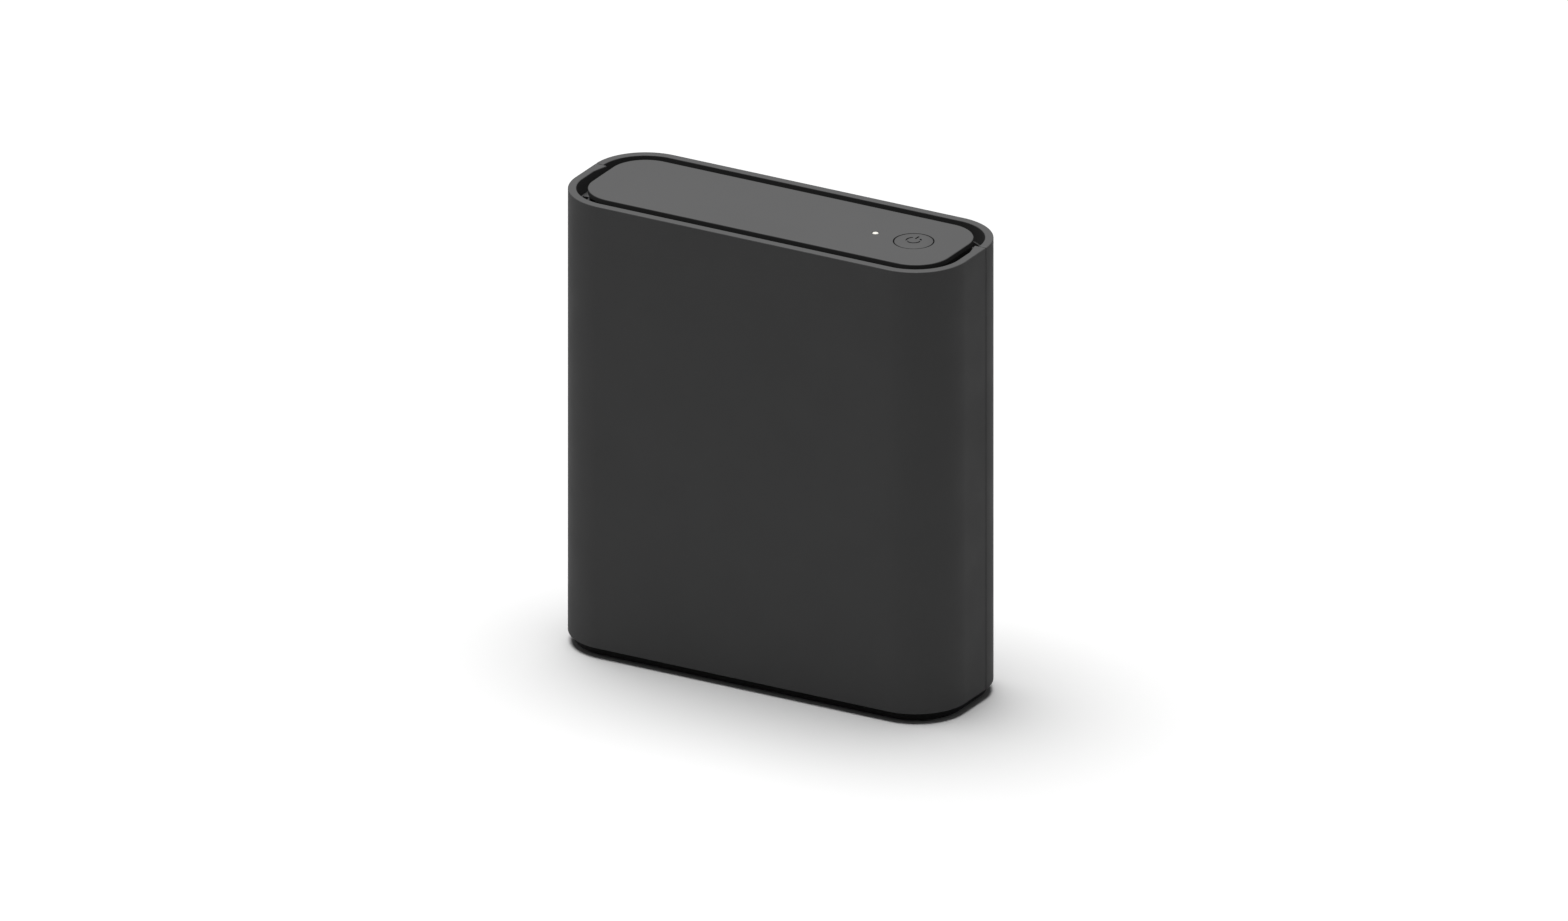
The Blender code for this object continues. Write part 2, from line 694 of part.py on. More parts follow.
def heat_sinks(looks):
    """The front sink on the modem chip, and a smaller one behind the board."""
    metal = looks["aluminium"]
    half = (SINK_HALF_WIDTH, SINK_HALF_HEIGHT)
    reach = SINK_BASE_REAR - SINK_FIN_TIP
    sink = finned("heat_sink", SINK_BASE_REAR, -1, half, SINK_BASE, reach, 9, 22.0, metal)
    for x, z in PINS:
        cut(sink, rod("hole", 1.7, (x, SINK_BASE_REAR - 2 * SINK_BASE, z), (x, 0, z), steps=12))
    rear = BOARD_REAR + 1.0
    finned("rear_heat_sink", rear, 1, REAR_SINK_HALF, REAR_SINK_BASE, REAR_SINK_REACH, 6, 19.0, metal)


def push_pins(looks):
    """Sprung nylon pins that hold the front heat sink on the board."""
    head_front, tip = -18.2, -1.4
    profile = (
        (0, tip),
        (0.9, tip),
        (1.75, BOARD_REAR + 0.35),
        (1.2, BOARD_REAR + 0.15),
        (1.2, head_front + 1.2),
        (3.0, head_front + 1.2),
        (3.0, head_front + 0.3),
        (2.7, head_front),
        (0, head_front),
    )
    turns, per_turn, wire, radius = 4, 8, 0.3, 2.2
    start, end = SINK_BASE_REAR - SINK_BASE - wire - FIT, head_front + 1.2 + wire + FIT
    for number, (x, z) in enumerate(PINS, 1):
        turned(f"heat_sink_pin_{number}", profile, (x, 0, z), looks["nylon"], 12, ALONG_Y)
        curve = bpy.data.curves.new(f"heat_sink_spring_{number}", "CURVE")
        curve.dimensions = "3D"
        curve.bevel_depth = wire * MM
        curve.bevel_resolution = 1
        curve.use_fill_caps = True
        spline = curve.splines.new("POLY")
        spline.points.add(turns * per_turn)
        for i, point in enumerate(spline.points):
            angle = 2 * math.pi * i / per_turn
            y = start + (end - start) * i / (turns * per_turn)
            point.co = (radius * math.cos(angle) * MM, y * MM, radius * math.sin(angle) * MM, 1)
        place(curve.name, curve, (x, 0, z), look=looks["steel"])


def tuner_shield(look):
    """The tin can over the tuner: a soldered frame and a lid that clips round it."""
    half, wall, height, centre = (16.0, 14.5), 0.4, 4.5, (32.0, 33.0)
    outlines = [rounded(*half, 1, 2), rounded(half[0] - wall, half[1] - wall, 0.6, 2)]
    middle = BOARD_FRONT - FIT - height / 2
    at = (centre[0], middle, centre[1])
    slab("tuner_shield_frame", outlines, height, at, FACING_BACK, look)
    outer = (half[0] + 0.4, half[1] + 0.4)
    top = BOARD_FRONT - 2 * FIT - height
    skin, skirt = 0.3, 2.5
    holes = [circle(0.9, (x * 7.0, z * 6.5), 8) for x in (-1, 0, 1) for z in (-1, 0, 1)]
    lid_at = (centre[0], top - skin / 2, centre[1])
    lid_outlines = [rounded(*outer, 1.4, 2)] + holes
    lid = as_mesh(slab("tuner_shield_lid", lid_outlines, skin, lid_at, FACING_BACK, look))
    skirt_outlines = [rounded(*outer, 1.4, 2), rounded(outer[0] - skin, outer[1] - skin, 1.1, 2)]
    skirt_at = (centre[0], top - 0.15 + skirt / 2, centre[1])
    join(lid, as_mesh(slab("skirt", skirt_outlines, skirt, skirt_at, FACING_BACK)))


def capacitors(looks):
    r, height = 4.0, 11.5
    profile = (
        (0, height - 0.3),
        (r - 1.0, height - 0.3),
        (r - 0.8, height),
        (r - 0.2, height - 0.4),
        (r, height - 1.0),
        (r, 2.8),
        (r - 0.35, 2.3),
        (r, 1.8),
        (r, 0),
        (0, 0),
    )
    for number, z in enumerate((54.0, 66.0), 1):
        at = (-50, BOARD_REAR + FIT, z)
        turned(f"bulk_capacitor_{number}", profile, at, looks["aluminium"], 16, ALONG_Y)


def plunger(name, tip, length, look, turn=(0, 0, 0)):
    """A switch's round plunger, its origin at its tip."""
    r = PLUNGER_RADIUS
    profile = ((0, 0), (r - 0.2, 0), (r, -0.2), (r, -length), (0, -length))
    return turned(name, profile, tip, look, 16, turn)


def switches(looks):
    """The power switch lies at the board's top edge, and the reset switch faces the port tray.

    Each plunger stands in a well in its switch's body, with room below it for its travel.
    """
    well = PLUNGER_RADIUS + 0.2
    top, half = 141.4, 2.2
    body = on_board("power_switch_body", BUTTON_X, top - half, 3.1, half, 6.0, looks["chip"], side=1)
    bevel(body, 0.2)
    cut(body, rod("well", well, (BUTTON_X, 0, top - WELL_DEPTH), (BUTTON_X, 0, top + 1)))
    tip = STEM_BOTTOM - FIT
    length = tip - (top - WELL_DEPTH) - SWITCH_ROOM
    plunger("power_switch_plunger", (BUTTON_X, 0, tip), length, looks["nylon"])

    face = BOARD_REAR + FIT + 3.5
    body = on_board("reset_switch_body", RESET_X, PORT_Z, 3.0, 3.0, 3.5, looks["chip"], side=1)
    bevel(body, 0.2)
    bottom = (RESET_X, face - WELL_DEPTH, PORT_Z)
    cut(body, rod("well", well, bottom, (RESET_X, face + 1, PORT_Z)))
    tip = TRAY_FLOOR - TRAY_WALL - 0.6
    length = tip - (face - WELL_DEPTH) - SWITCH_ROOM
    plunger("reset_switch_plunger", (RESET_X, tip, PORT_Z), length, looks["nylon"], ALONG_Y)


def status_light(look):
    body = on_board("status_led", LIGHT_X, 138.3, 1.6, 1.3, 4.4, look, side=1)
    profile = ((0, 1.4), (0.7, 1.2), (1.2, 0.7), (1.4, 0), (1.4, -0.6), (0, -0.6))
    join(body, turned("dome", profile, (LIGHT_X, 0, 139.6), steps=12))
    return body


# ---------------------------------------------------------------- ports


def port_tray(look):
    """The recess at the back that the sockets show through."""
    openings = [rectangle(JACK_HALF[0] + 0.6, JACK_HALF[1] + 0.6, (x, 0)) for x in ETHERNET_X]
    for radius, x, steps in ((5.1, COAX_X, 20), (4.4, POWER_X, 20), (1.1, RESET_X, 10)):
        openings.append(circle(radius, (x, 0), steps))
    mouth, back = DEPTH / 2 - 0.15, TRAY_FLOOR - TRAY_WALL
    block = [rounded(*TRAY_OUTER_HALF, 3, 4)] + openings
    at = (0, (mouth + back) / 2, PORT_Z)
    made = as_mesh(slab("port_tray", block, mouth - back, at, FACING_BACK, look))
    depth = mouth + 1 - TRAY_FLOOR
    recess_at = (0, TRAY_FLOOR + depth / 2, PORT_Z)
    cut(made, as_mesh(slab("recess", [rounded(*TRAY_HALF, 1.5, 4)], depth, recess_at, FACING_BACK)))
    flange_half = [h + TRAY_FLANGE_REACH for h in TRAY_OUTER_HALF]
    flange_thickness = 1.5
    flange_at = (0, DEPTH / 2 - WALL - 0.2 - flange_thickness / 2, PORT_Z)
    flange_hole = rounded(TRAY_OUTER_HALF[0] - 0.5, TRAY_OUTER_HALF[1] - 0.5, 2.5, 4)
    flange_outlines = [rounded(*flange_half, 4, 4), flange_hole]
    return join(made, as_mesh(slab("flange", flange_outlines, flange_thickness, flange_at, FACING_BACK)))


def ethernet_jack(number, x, looks):
    """A socket: a moulded housing with a keyed mouth, its eight contacts and a tin shield."""
    front, back = TRAY_FLOOR - 0.1, BOARD_REAR + 0.5
    low, high = PORT_Z - JACK_HALF[1], PORT_Z + JACK_HALF[1]
    housing = box(
        f"ethernet_jack_{number}",
        (x - JACK_HALF[0], back, low),
        (x + JACK_HALF[0], front, high),
        looks["jack"],
    )
    mouth_low, mouth_high, step_high = low + 1.2, low + 8.4, low + 10.8
    mouth_half, latch_half, mouth_depth = 5.95, 3.2, 12.0
    pocket = front - mouth_depth
    cavity = [
        (-mouth_half, mouth_low),
        (mouth_half, mouth_low),
        (mouth_half, mouth_high),
        (latch_half, mouth_high),
        (latch_half, step_high),
        (-latch_half, step_high),
        (-latch_half, mouth_high),
        (-mouth_half, mouth_high),
    ]
    depth = front + 1 - pocket
    cavity = [(px, pz - PORT_Z) for px, pz in cavity]
    cutter = as_mesh(slab("mouth", [cavity], depth, (x, pocket + depth / 2, PORT_Z), FACING_BACK))
    cut(housing, cutter)

    name = f"ethernet_contacts_{number}"
    carrier_back = pocket + FIT
    contacts = box(
        name,
        (x - 4.6, carrier_back, mouth_low + FIT),
        (x + 4.6, carrier_back + 1.4, mouth_low + 1.6),
        looks["gold"],
    )
    wires, wire_pitch, wire_length, wire_slope = 8, 1.02, 8.0, 12
    for i in range(wires):
        wire_x = x + (i - (wires - 1) / 2) * wire_pitch
        wire = box("wire", (-0.2, 0, -0.2), (0.2, wire_length, 0.2))
        wire.matrix_world = (
            Matrix.Translation(Vector((wire_x, carrier_back + 1.0, mouth_low + 0.65)) * MM)
            @ Matrix.Rotation(math.radians(wire_slope), 4, "X")
            @ Matrix.Translation((0, wire_length / 2 * MM, 0))
        )
        join(contacts, wire)

    inner = rectangle(JACK_HALF[0] + FIT, JACK_HALF[1] + FIT)
    outer = rectangle(JACK_HALF[0] + FIT + SHIELD, JACK_HALF[1] + FIT + SHIELD)
    depth = front - back
    at = (x, back + depth / 2, PORT_Z)
    slab(f"ethernet_shield_{number}", [outer, inner], depth, at, FACING_BACK, looks["tin"])


def coax_port(looks):
    """A threaded coaxial socket, held in the tray by a hex nut."""
    barrel, pitch, groove = 4.7, 1.6, 0.42
    block_rear = BOARD_REAR + 0.4
    shoulder = TRAY_FLOOR - TRAY_WALL - 0.2
    end = DEPTH / 2 - 2.0
    bore, bore_depth = 3.3, 7.0
    profile = [(0, end - bore_depth), (bore, end - bore_depth), (bore, end)]
    profile += [(barrel - 0.4, end), (barrel, end - 0.4)]
    threads = int((end - 0.6 - shoulder - 1.4) / pitch)
    for i in range(threads):
        top = end - 0.6 - i * pitch
        profile += [(barrel, top), (barrel - groove, top - pitch / 2)]
    profile += [(barrel, shoulder + 0.6), (barrel, shoulder - 1.0), (0, shoulder - 1.0)]
    body = turned("coax_connector", profile, (COAX_X, 0, PORT_Z), looks["nickel"], 20, ALONG_Y)
    block = box(
        "block",
        (COAX_X - 6, block_rear, PORT_Z - 6),
        (COAX_X + 6, shoulder, PORT_Z + 6),
    )
    join(body, block)

    insulator_back, insulator_front = end - bore_depth + FIT, end - 0.8
    profile = (
        (0.55, insulator_front - 0.3),
        (1.0, insulator_front),
        (bore - FIT, insulator_front),
        (bore - FIT, insulator_back),
        (0.55, insulator_back),
    )
    turned("coax_insulator", profile, (COAX_X, 0, PORT_Z), looks["nylon"], 16, ALONG_Y)
    rod(
        "coax_contact",
        0.4,
        (COAX_X, insulator_back + 0.2, PORT_Z),
        (COAX_X, insulator_front - 1.5, PORT_Z),
        looks["gold"],
        10,
    )

    hexagon = circle(6.3, (0, 0), 6)
    nut_start, nut_depth = TRAY_FLOOR + FIT, 2.2
    nut_at = (COAX_X, nut_start + nut_depth / 2, PORT_Z)
    nut_outlines = [hexagon, circle(barrel + 0.15, (0, 0), 20)]
    slab("coax_nut", nut_outlines, nut_depth, nut_at, FACING_BACK, looks["nickel"])


def power_port(looks):
    """A barrel socket for the power supply's plug, and its centre pin."""
    back, front, nose = BOARD_REAR + 0.5, TRAY_FLOOR - TRAY_WALL - 0.2, TRAY_FLOOR - 0.1
    jack = box(
        "power_jack",
        (POWER_X - 4.6, back, PORT_Z - 5.6),
        (POWER_X + 4.6, front, PORT_Z + 5.0),
        looks["jack"],
    )
    nose_radius, socket_radius, socket_depth, pin_radius = 4.1, 3.1, 9.5, 1.0
    join(jack, rod("nose", nose_radius, (POWER_X, front - 1, PORT_Z), (POWER_X, nose, PORT_Z), steps=20))
    floor = nose - socket_depth
    socket = rod("socket", socket_radius, (POWER_X, floor, PORT_Z), (POWER_X, nose + 1, PORT_Z), steps=20)
    cut(jack, socket)
    tip = nose - 0.8
    foot = floor + FIT - tip
    profile = ((0, 0), (pin_radius - 0.3, 0), (pin_radius, -0.4), (pin_radius, foot), (0, foot))
    turned("power_jack_pin", profile, (POWER_X, tip, PORT_Z), looks["nickel"], 14, ALONG_Y)


# ---------------------------------------------------------------- assembly


def main():
    clear_scene()
    scene = bpy.context.scene
    scene.collection.children.link(MODEM)
    scene.collection.children.link(CUTTERS)
    CUTTERS.hide_render = True
    looks = materials()

    front_shell(looks["casing"])
    rear_shell(looks["casing"])
    plinth(looks["plinth"])
    feet_and_label(looks["rubber"], looks["label"])
    vent_ring(looks["trim"])
    top_plate(looks["casing"])
    power_button(looks["casing"])
    light_pipe(looks["lens"])

    main_board(looks["board"])
    chips(looks)
    heat_sinks(looks)
    push_pins(looks)
    tuner_shield(looks["tin"])
    capacitors(looks)
    switches(looks)
    status_light(looks["lens"])

    port_tray(looks["trim"])
    for number, x in enumerate(ETHERNET_X, 1):
        ethernet_jack(number, x, looks)
    coax_port(looks)
    power_port(looks)

    for number, (x, z) in enumerate(BOARD_SCREWS, 1):
        screw(f"board_screw_{number}", (x, BOARD_REAR + FIT, z), (0, -1, 0), 9.0, looks["steel"])
    posts = [(x, y) for x in (-POST_X, POST_X) for y in (-POST_Y, POST_Y)]
    for number, (x, y) in enumerate(posts, 1):
        screw(f"base_screw_{number}", (x, y, 3.2), (0, 0, 1), 10.0, looks["steel"])


main()
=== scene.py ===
"""The looks of an upright cable modem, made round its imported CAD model.

The visible mouldings and sockets are rebuilt with fine arcs and rounded edges, and ride where
the CAD nodes that they replace stand. The other nodes stay and get their finishes here.
Everything is in metres: +Z up, the front faces -Y, and each piece's origin is the world's.
"""

import json
import math
import random

import bmesh
import bpy
from mathutils import Matrix, Vector


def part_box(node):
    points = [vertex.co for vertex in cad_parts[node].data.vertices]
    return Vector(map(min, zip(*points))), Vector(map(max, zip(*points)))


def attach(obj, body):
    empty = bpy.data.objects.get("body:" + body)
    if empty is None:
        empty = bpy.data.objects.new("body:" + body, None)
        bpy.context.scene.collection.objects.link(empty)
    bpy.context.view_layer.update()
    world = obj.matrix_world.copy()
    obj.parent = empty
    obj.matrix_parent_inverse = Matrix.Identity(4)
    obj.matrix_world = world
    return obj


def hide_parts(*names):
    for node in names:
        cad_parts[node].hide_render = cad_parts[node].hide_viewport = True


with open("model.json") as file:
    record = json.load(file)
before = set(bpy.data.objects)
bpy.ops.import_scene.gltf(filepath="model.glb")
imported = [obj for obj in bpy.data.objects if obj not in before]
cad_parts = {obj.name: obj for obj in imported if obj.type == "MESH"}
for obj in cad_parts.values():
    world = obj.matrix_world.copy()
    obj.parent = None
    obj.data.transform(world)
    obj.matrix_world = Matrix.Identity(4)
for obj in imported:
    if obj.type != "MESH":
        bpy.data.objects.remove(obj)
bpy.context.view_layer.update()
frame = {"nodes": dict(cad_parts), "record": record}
MM = 0.001

# ---------------------------------------------------------------- sizes read from the frame

FRONT_LOW, FRONT_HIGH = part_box("front_shell")
REAR_LOW, REAR_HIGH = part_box("rear_shell")
PLATE_LOW, PLATE_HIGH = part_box("top_plate")
RING_LOW, RING_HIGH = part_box("vent_ring")
PLINTH_LOW, PLINTH_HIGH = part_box("plinth")
TRAY_LOW, TRAY_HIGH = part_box("port_tray")
BUTTON_LOW, BUTTON_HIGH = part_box("power_button")
PIPE_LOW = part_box("light_pipe")[0]
BOARD_LOW, BOARD_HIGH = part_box("main_board")


def middle(node):
    low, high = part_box(node)
    return (low + high) / 2


HALF_X, HALF_Y = FRONT_HIGH.x, REAR_HIGH.y
RIM_TOP, SHELL_BOTTOM = FRONT_HIGH.z, FRONT_LOW.z
SEAM_GAP = 0.3 * MM
SEAM_Y = REAR_LOW.y - SEAM_GAP / 2
CORNER = HALF_Y - SEAM_Y
PLATE_INSET = HALF_X - PLATE_HIGH.x
PLINTH_INSET = HALF_X - PLINTH_HIGH.x
BOARD_SCREWS = [middle(f"board_screw_{i}") for i in range(1, 5)]
BASE_SCREWS = [middle(f"base_screw_{i}") for i in range(1, 5)]
PORT_Z = middle("coax_nut").z

# Sizes inside a node, the same as the CAD's
WALL = 2.65 * MM
LAND = 1.4 * MM
LAND_LENGTH = 5.6 * MM
FIT = 0.1 * MM
PLATE_THICKNESS = 2.0 * MM
PLATE_LEG_X = (-48 * MM, -14 * MM, 20 * MM)
RING_OPENING_INSET = 9.25 * MM
RING_BRIDGE = (30 * MM, 54 * MM)
RING_SLOT_INSET = (3.5 * MM, 5.7 * MM)
LEDGE_X = (-46 * MM, 0, 46 * MM)
BUTTON_RADIUS = 6.1 * MM
BUTTON_HOLE = 6.5 * MM
FLANGE_TOP, FLANGE_BOTTOM = -2.2 * MM, -3.4 * MM
STEM_RADIUS = 1.6 * MM
LIGHT_RADIUS = 1.0 * MM
TRAY_FLOOR_AT = 13.35 * MM
TRAY_WALL = 1.5 * MM
TRAY_FLANGE = 3 * MM
TRAY_HALF_X = (TRAY_HIGH.x - TRAY_LOW.x) / 2 - TRAY_FLANGE
TRAY_HALF_Z = (TRAY_HIGH.z - TRAY_LOW.z) / 2 - TRAY_FLANGE
SOCKET_SHOULDER = 11.65 * MM
THREAD_PITCH = 0.794 * MM
POST_RADIUS = 4.4 * MM
POST_BOTTOM, POST_TOP = 6.6 * MM, 17.0 * MM
PILOT_RADIUS = 1.25 * MM
TONGUE_X = (66.1 * MM, 67.1 * MM)
SNAP_TAB_X = (64.9 * MM, 66.5 * MM)
SNAP_CATCH_X = (65.6 * MM, 67.9 * MM)
SNAP_HEIGHTS = (30 * MM, 78 * MM, 126 * MM)
RIM_ROUND = 0.35 * MM
SEAM_ROUND = 0.1 * MM

ALONG_Y = (0, 1, 0)
ARC_STEPS = 40

# Chips with leads: the direction that the row runs in, and its pitch in millimetres
LEADED_CHIPS = (
    ("flash_chip", "Z", 1.0),
    ("memory_chip", "Z", 1.0),
    ("ethernet_phy_chip", "X", 0.8),
    ("ethernet_phy_chip", "Z", 0.8),
)

# Noise scales, in features to the metre
FLOW, HANDLING, RIPPLE, RUBBING, GRAIN, SPECK = 22.0, 60.0, 90.0, 300.0, 1900.0, 2600.0

# View and light, in degrees, metres and watts
VIEW_TURN, VIEW_TILT, VIEW_WIDTH = 29.6, 22.44, 0.489
AIM_UP, AIM_RIGHT = 68.9 * MM, 1.03 * MM
LAMP_SIZE, LAMP_POWER, LAMP_AT = 2.0, 172.0, (-0.25, 0.14, 2.6)
WORLD_STRENGTH = 0.15


# ---------------------------------------------------------------- node materials


class Finish:
    """A Principled material with its texture nodes."""

    def __init__(self, name, roughness=0.5, metallic=0.0):
        self.material = bpy.data.materials.new(name)
        self.material.use_nodes = True
        self.tree = self.material.node_tree
        self.shader = self.tree.nodes["Principled BSDF"]
        self.shader.inputs["Roughness"].default_value = roughness
        self.shader.inputs["Metallic"].default_value = metallic
        self.place = self.tree.nodes.new("ShaderNodeTexCoord").outputs["Object"]

    def node(self, kind, links=(), **values):
        made = self.tree.nodes.new(kind)
        for name, value in values.items():
            setattr(made, name, value)
        for socket, source in dict(links).items():
            if isinstance(source, bpy.types.NodeSocket):
                self.tree.links.new(source, made.inputs[socket])
            else:
                made.inputs[socket].default_value = source
        return made

    def noise(self, scale, detail=3.0, stretch=None):
        place = self.place
        if stretch is not None:
            place = self.node("ShaderNodeMapping", {"Vector": place, "Scale": stretch}).outputs[0]
        made = self.node("ShaderNodeTexNoise", {"Vector": place, "Scale": scale, "Detail": detail})
        return made.outputs["Fac"]

    def between(self, fac, low, high, start=0.3, end=0.7):
        made = self.node("ShaderNodeMapRange", {"Value": fac, 1: start, 2: end, 3: low, 4: high})
        return made.outputs["Result"]

    def mix(self, fac, a, b):
        made = self.node("ShaderNodeMix", data_type="RGBA")
        for socket, value in ((0, fac), (6, a), (7, b)):
            if isinstance(value, bpy.types.NodeSocket):
                self.tree.links.new(value, made.inputs[socket])
            else:
                made.inputs[socket].default_value = (*value, 1.0) if socket else value
        return made.outputs[2]

    def math(self, operation, a, b=0.0):
        return self.node("ShaderNodeMath", {0: a, 1: b}, operation=operation).outputs[0]

    def axis(self, letter):
        return self.node("ShaderNodeSeparateXYZ", {0: self.place}).outputs[letter]

    def bump(self, heights):
        """Stacks (height, strength, depth in metres) bumps onto the shader's normal."""
        normal = None
        for height, strength, depth in heights:
            links = {"Height": height, "Strength": strength, "Distance": depth}
            if normal is not None:
                links["Normal"] = normal
            normal = self.node("ShaderNodeBump", links).outputs["Normal"]
        self.tree.links.new(normal, self.shader.inputs["Normal"])

    def set(self, socket, value):
        if isinstance(value, bpy.types.NodeSocket):
            self.tree.links.new(value, self.shader.inputs[socket])
        else:
            self.shader.inputs[socket].default_value = value


def moulded(name, colour, roughness, grain=0.35, mottle=0.05, wear=0.35):
    """Moulded plastic: a fine spark-eroded grain, faint flow marks, and edges rubbed paler."""
    made = Finish(name, roughness)
    pale = [min(1.0, c * (1 + mottle)) for c in colour]
    deep = [c * (1 - mottle) for c in colour]
    flow = made.noise(FLOW, 4.0, (1, 1, 0.35))
    body = made.mix(made.between(flow, 0.0, 1.0), deep, pale)
    speck = made.between(made.noise(SPECK, 2.0), 0.0, 1.0, 0.35, 0.65)
    body = made.mix(0.25, body, made.mix(speck, deep, pale))
    rubbed = made.node("ShaderNodeAttribute", attribute_name="wear").outputs["Fac"]
    patchy = made.math("MULTIPLY", rubbed, made.between(made.noise(RUBBING), 0.2, 1.0))
    rim = [min(1.0, c * 1.9 + 0.004) for c in colour]
    made.set("Base Color", made.mix(made.math("MULTIPLY", patchy, wear), body, rim))
    handled = made.between(made.noise(HANDLING), roughness - 0.05, roughness + 0.05)
    made.set("Roughness", made.math("SUBTRACT", handled, made.math("MULTIPLY", patchy, 0.12)))
    made.bump(((made.noise(GRAIN, 2.0), grain, 0.04 * MM), (made.noise(RIPPLE), 0.02, 0.1 * MM)))
    return made


def metal(name, colour, roughness, lines=(1, 1, 1)):
    """Bare metal with drawn or rolled lines along the direction that lines stretches."""
    made = Finish(name, roughness, 1.0)
    dull = [c * 0.8 for c in colour]
    made.set("Base Color", made.mix(made.between(made.noise(260.0), 0.0, 1.0), dull, colour))
    streak = made.noise(900.0, 3.0, lines)
    made.set("Roughness", made.between(streak, max(0.05, roughness - 0.1), roughness + 0.12))
    made.bump(((streak, 0.15, 0.02 * MM),))
    return made


def casing_finish():
    made = moulded("casing_plastic", (0.0465, 0.0465, 0.0468), 0.66, mottle=0.025, wear=0.2)
    made.set("Specular IOR Level", 0.12)
    return made


def plinth_finish():
    made = moulded("plinth_plastic", (0.002, 0.002, 0.002), 0.7, 0.3, wear=0.1)
    made.set("Specular IOR Level", 0.12)
    return made


def board_finish():
    """Green solder mask over blocks of parallel copper tracks, with tinned vias."""
    made = Finish("solder_mask", 0.38)
    block_scale, via_scale, via_size = 75.0, 260.0, 0.085
    pitch_x, pitch_z, gap_share = 0.75 * MM, 0.85 * MM, 0.55
    upright_below, level_above = 0.42, 0.68
    pick = {"Vector": made.place, "Scale": block_scale}
    blocks = made.node("ShaderNodeTexVoronoi", pick, feature="F1", distance="CHEBYCHEV").outputs["Color"]
    choice = made.node("ShaderNodeSeparateColor", {0: blocks}).outputs["Red"]

    def tracks(letter, pitch):
        phase = made.math("FRACT", made.math("DIVIDE", made.axis(letter), pitch))
        return made.math("GREATER_THAN", phase, gap_share)

    upright = made.math("MULTIPLY", tracks("X", pitch_x), made.math("LESS_THAN", choice, upright_below))
    level = made.math("MULTIPLY", tracks("Z", pitch_z), made.math("GREATER_THAN", choice, level_above))
    copper = made.math("MAXIMUM", upright, level)
    spots = made.node("ShaderNodeTexVoronoi", {"Vector": made.place, "Scale": via_scale}, feature="F1")
    via = made.math("LESS_THAN", spots.outputs["Distance"], via_size)
    mask = made.mix(made.between(made.noise(30.0), 0.0, 1.0), (0.007, 0.05, 0.02), (0.009, 0.06, 0.025))
    mask = made.mix(copper, mask, (0.016, 0.1, 0.04))
    made.set("Base Color", made.mix(via, mask, (0.6, 0.58, 0.5)))
    made.set("Metallic", via)
    made.bump(((copper, 0.25, 0.03 * MM), (made.noise(2200.0), 0.06, 0.02 * MM)))
    return made


def capacitor_finish():
    """A dark printed sleeve with a bare aluminium end."""
    made = Finish("capacitor", 0.35)
    end = made.between(made.axis("Y"), 0.0, 1.0, 8.15 * MM, 8.2 * MM)
    stripe = made.between(made.axis("X"), 1.0, 0.0, -53.6 * MM, -53.4 * MM)
    sleeve = made.mix(stripe, (0.012, 0.014, 0.03), (0.35, 0.36, 0.38))
    made.set("Base Color", made.mix(end, sleeve, (0.75, 0.76, 0.77)))
    made.set("Metallic", end)
    made.set("Roughness", made.between(made.noise(500.0), 0.25, 0.42))
    return made


def label_finish():
    """A blank printed label with a row of plain bars, and no words."""
    made = Finish("label_film", 0.42)
    x, y = made.axis("X"), made.axis("Y")
    left, right, half_height, bar_scale = 6 * MM, 20.6 * MM, 1.4 * MM, 260.0
    bars = made.node("ShaderNodeTexWave", {"Vector": made.place, "Scale": bar_scale, "Distortion": 0.0})
    ink = made.between(bars.outputs["Fac"], 0.0, 1.0, 0.5, 0.55)
    window = (
        ("GREATER_THAN", x, left), ("LESS_THAN", x, right),
        ("GREATER_THAN", y, -half_height), ("LESS_THAN", y, half_height),
    )
    for operation, value, limit in window:
        ink = made.math("MULTIPLY", ink, made.math(operation, value, limit))
    paper = made.mix(made.between(made.noise(90.0), 0.0, 1.0), (0.62, 0.62, 0.6), (0.7, 0.7, 0.68))
    made.set("Base Color", made.mix(ink, paper, (0.03, 0.03, 0.03)))
    made.bump(((made.noise(1500.0), 0.05, 0.02 * MM),))
    return made


def light_finish():
    """Clear rod that scatters a warm white light out of its tip."""
    made = Finish("light_pipe", 0.25)
    lit = made.between(made.axis("Z"), 0.0, 1.0, RIM_TOP - 1.2 * MM, RIM_TOP - 0.2 * MM)
    made.set("Base Color", made.mix(lit, (0.3, 0.3, 0.28), (0.34, 0.335, 0.31)))
    made.set("Emission Color", (1.0, 0.97, 0.9, 1.0))
    made.set("Emission Strength", made.math("MULTIPLY", lit, 0.22))
    made.bump(((made.noise(1200.0), 0.05, 0.02 * MM),))
    return made


def thermal_pad_finish():
    made = Finish("thermal_pad", 0.8)
    made.set("Base Color", made.mix(made.noise(900.0), (0.32, 0.38, 0.5), (0.45, 0.52, 0.66)))
    made.bump(((made.noise(700.0), 0.3, 0.08 * MM),))
    return made


def board_led_finish():
    made = Finish("led_resin", 0.2)
    made.set("Base Color", made.mix(made.noise(400.0), (0.8, 0.78, 0.6), (0.9, 0.88, 0.72)))
    made.set("Emission Color", (1.0, 0.95, 0.8, 1.0))
    made.set("Emission Strength", 0.8)
    return made


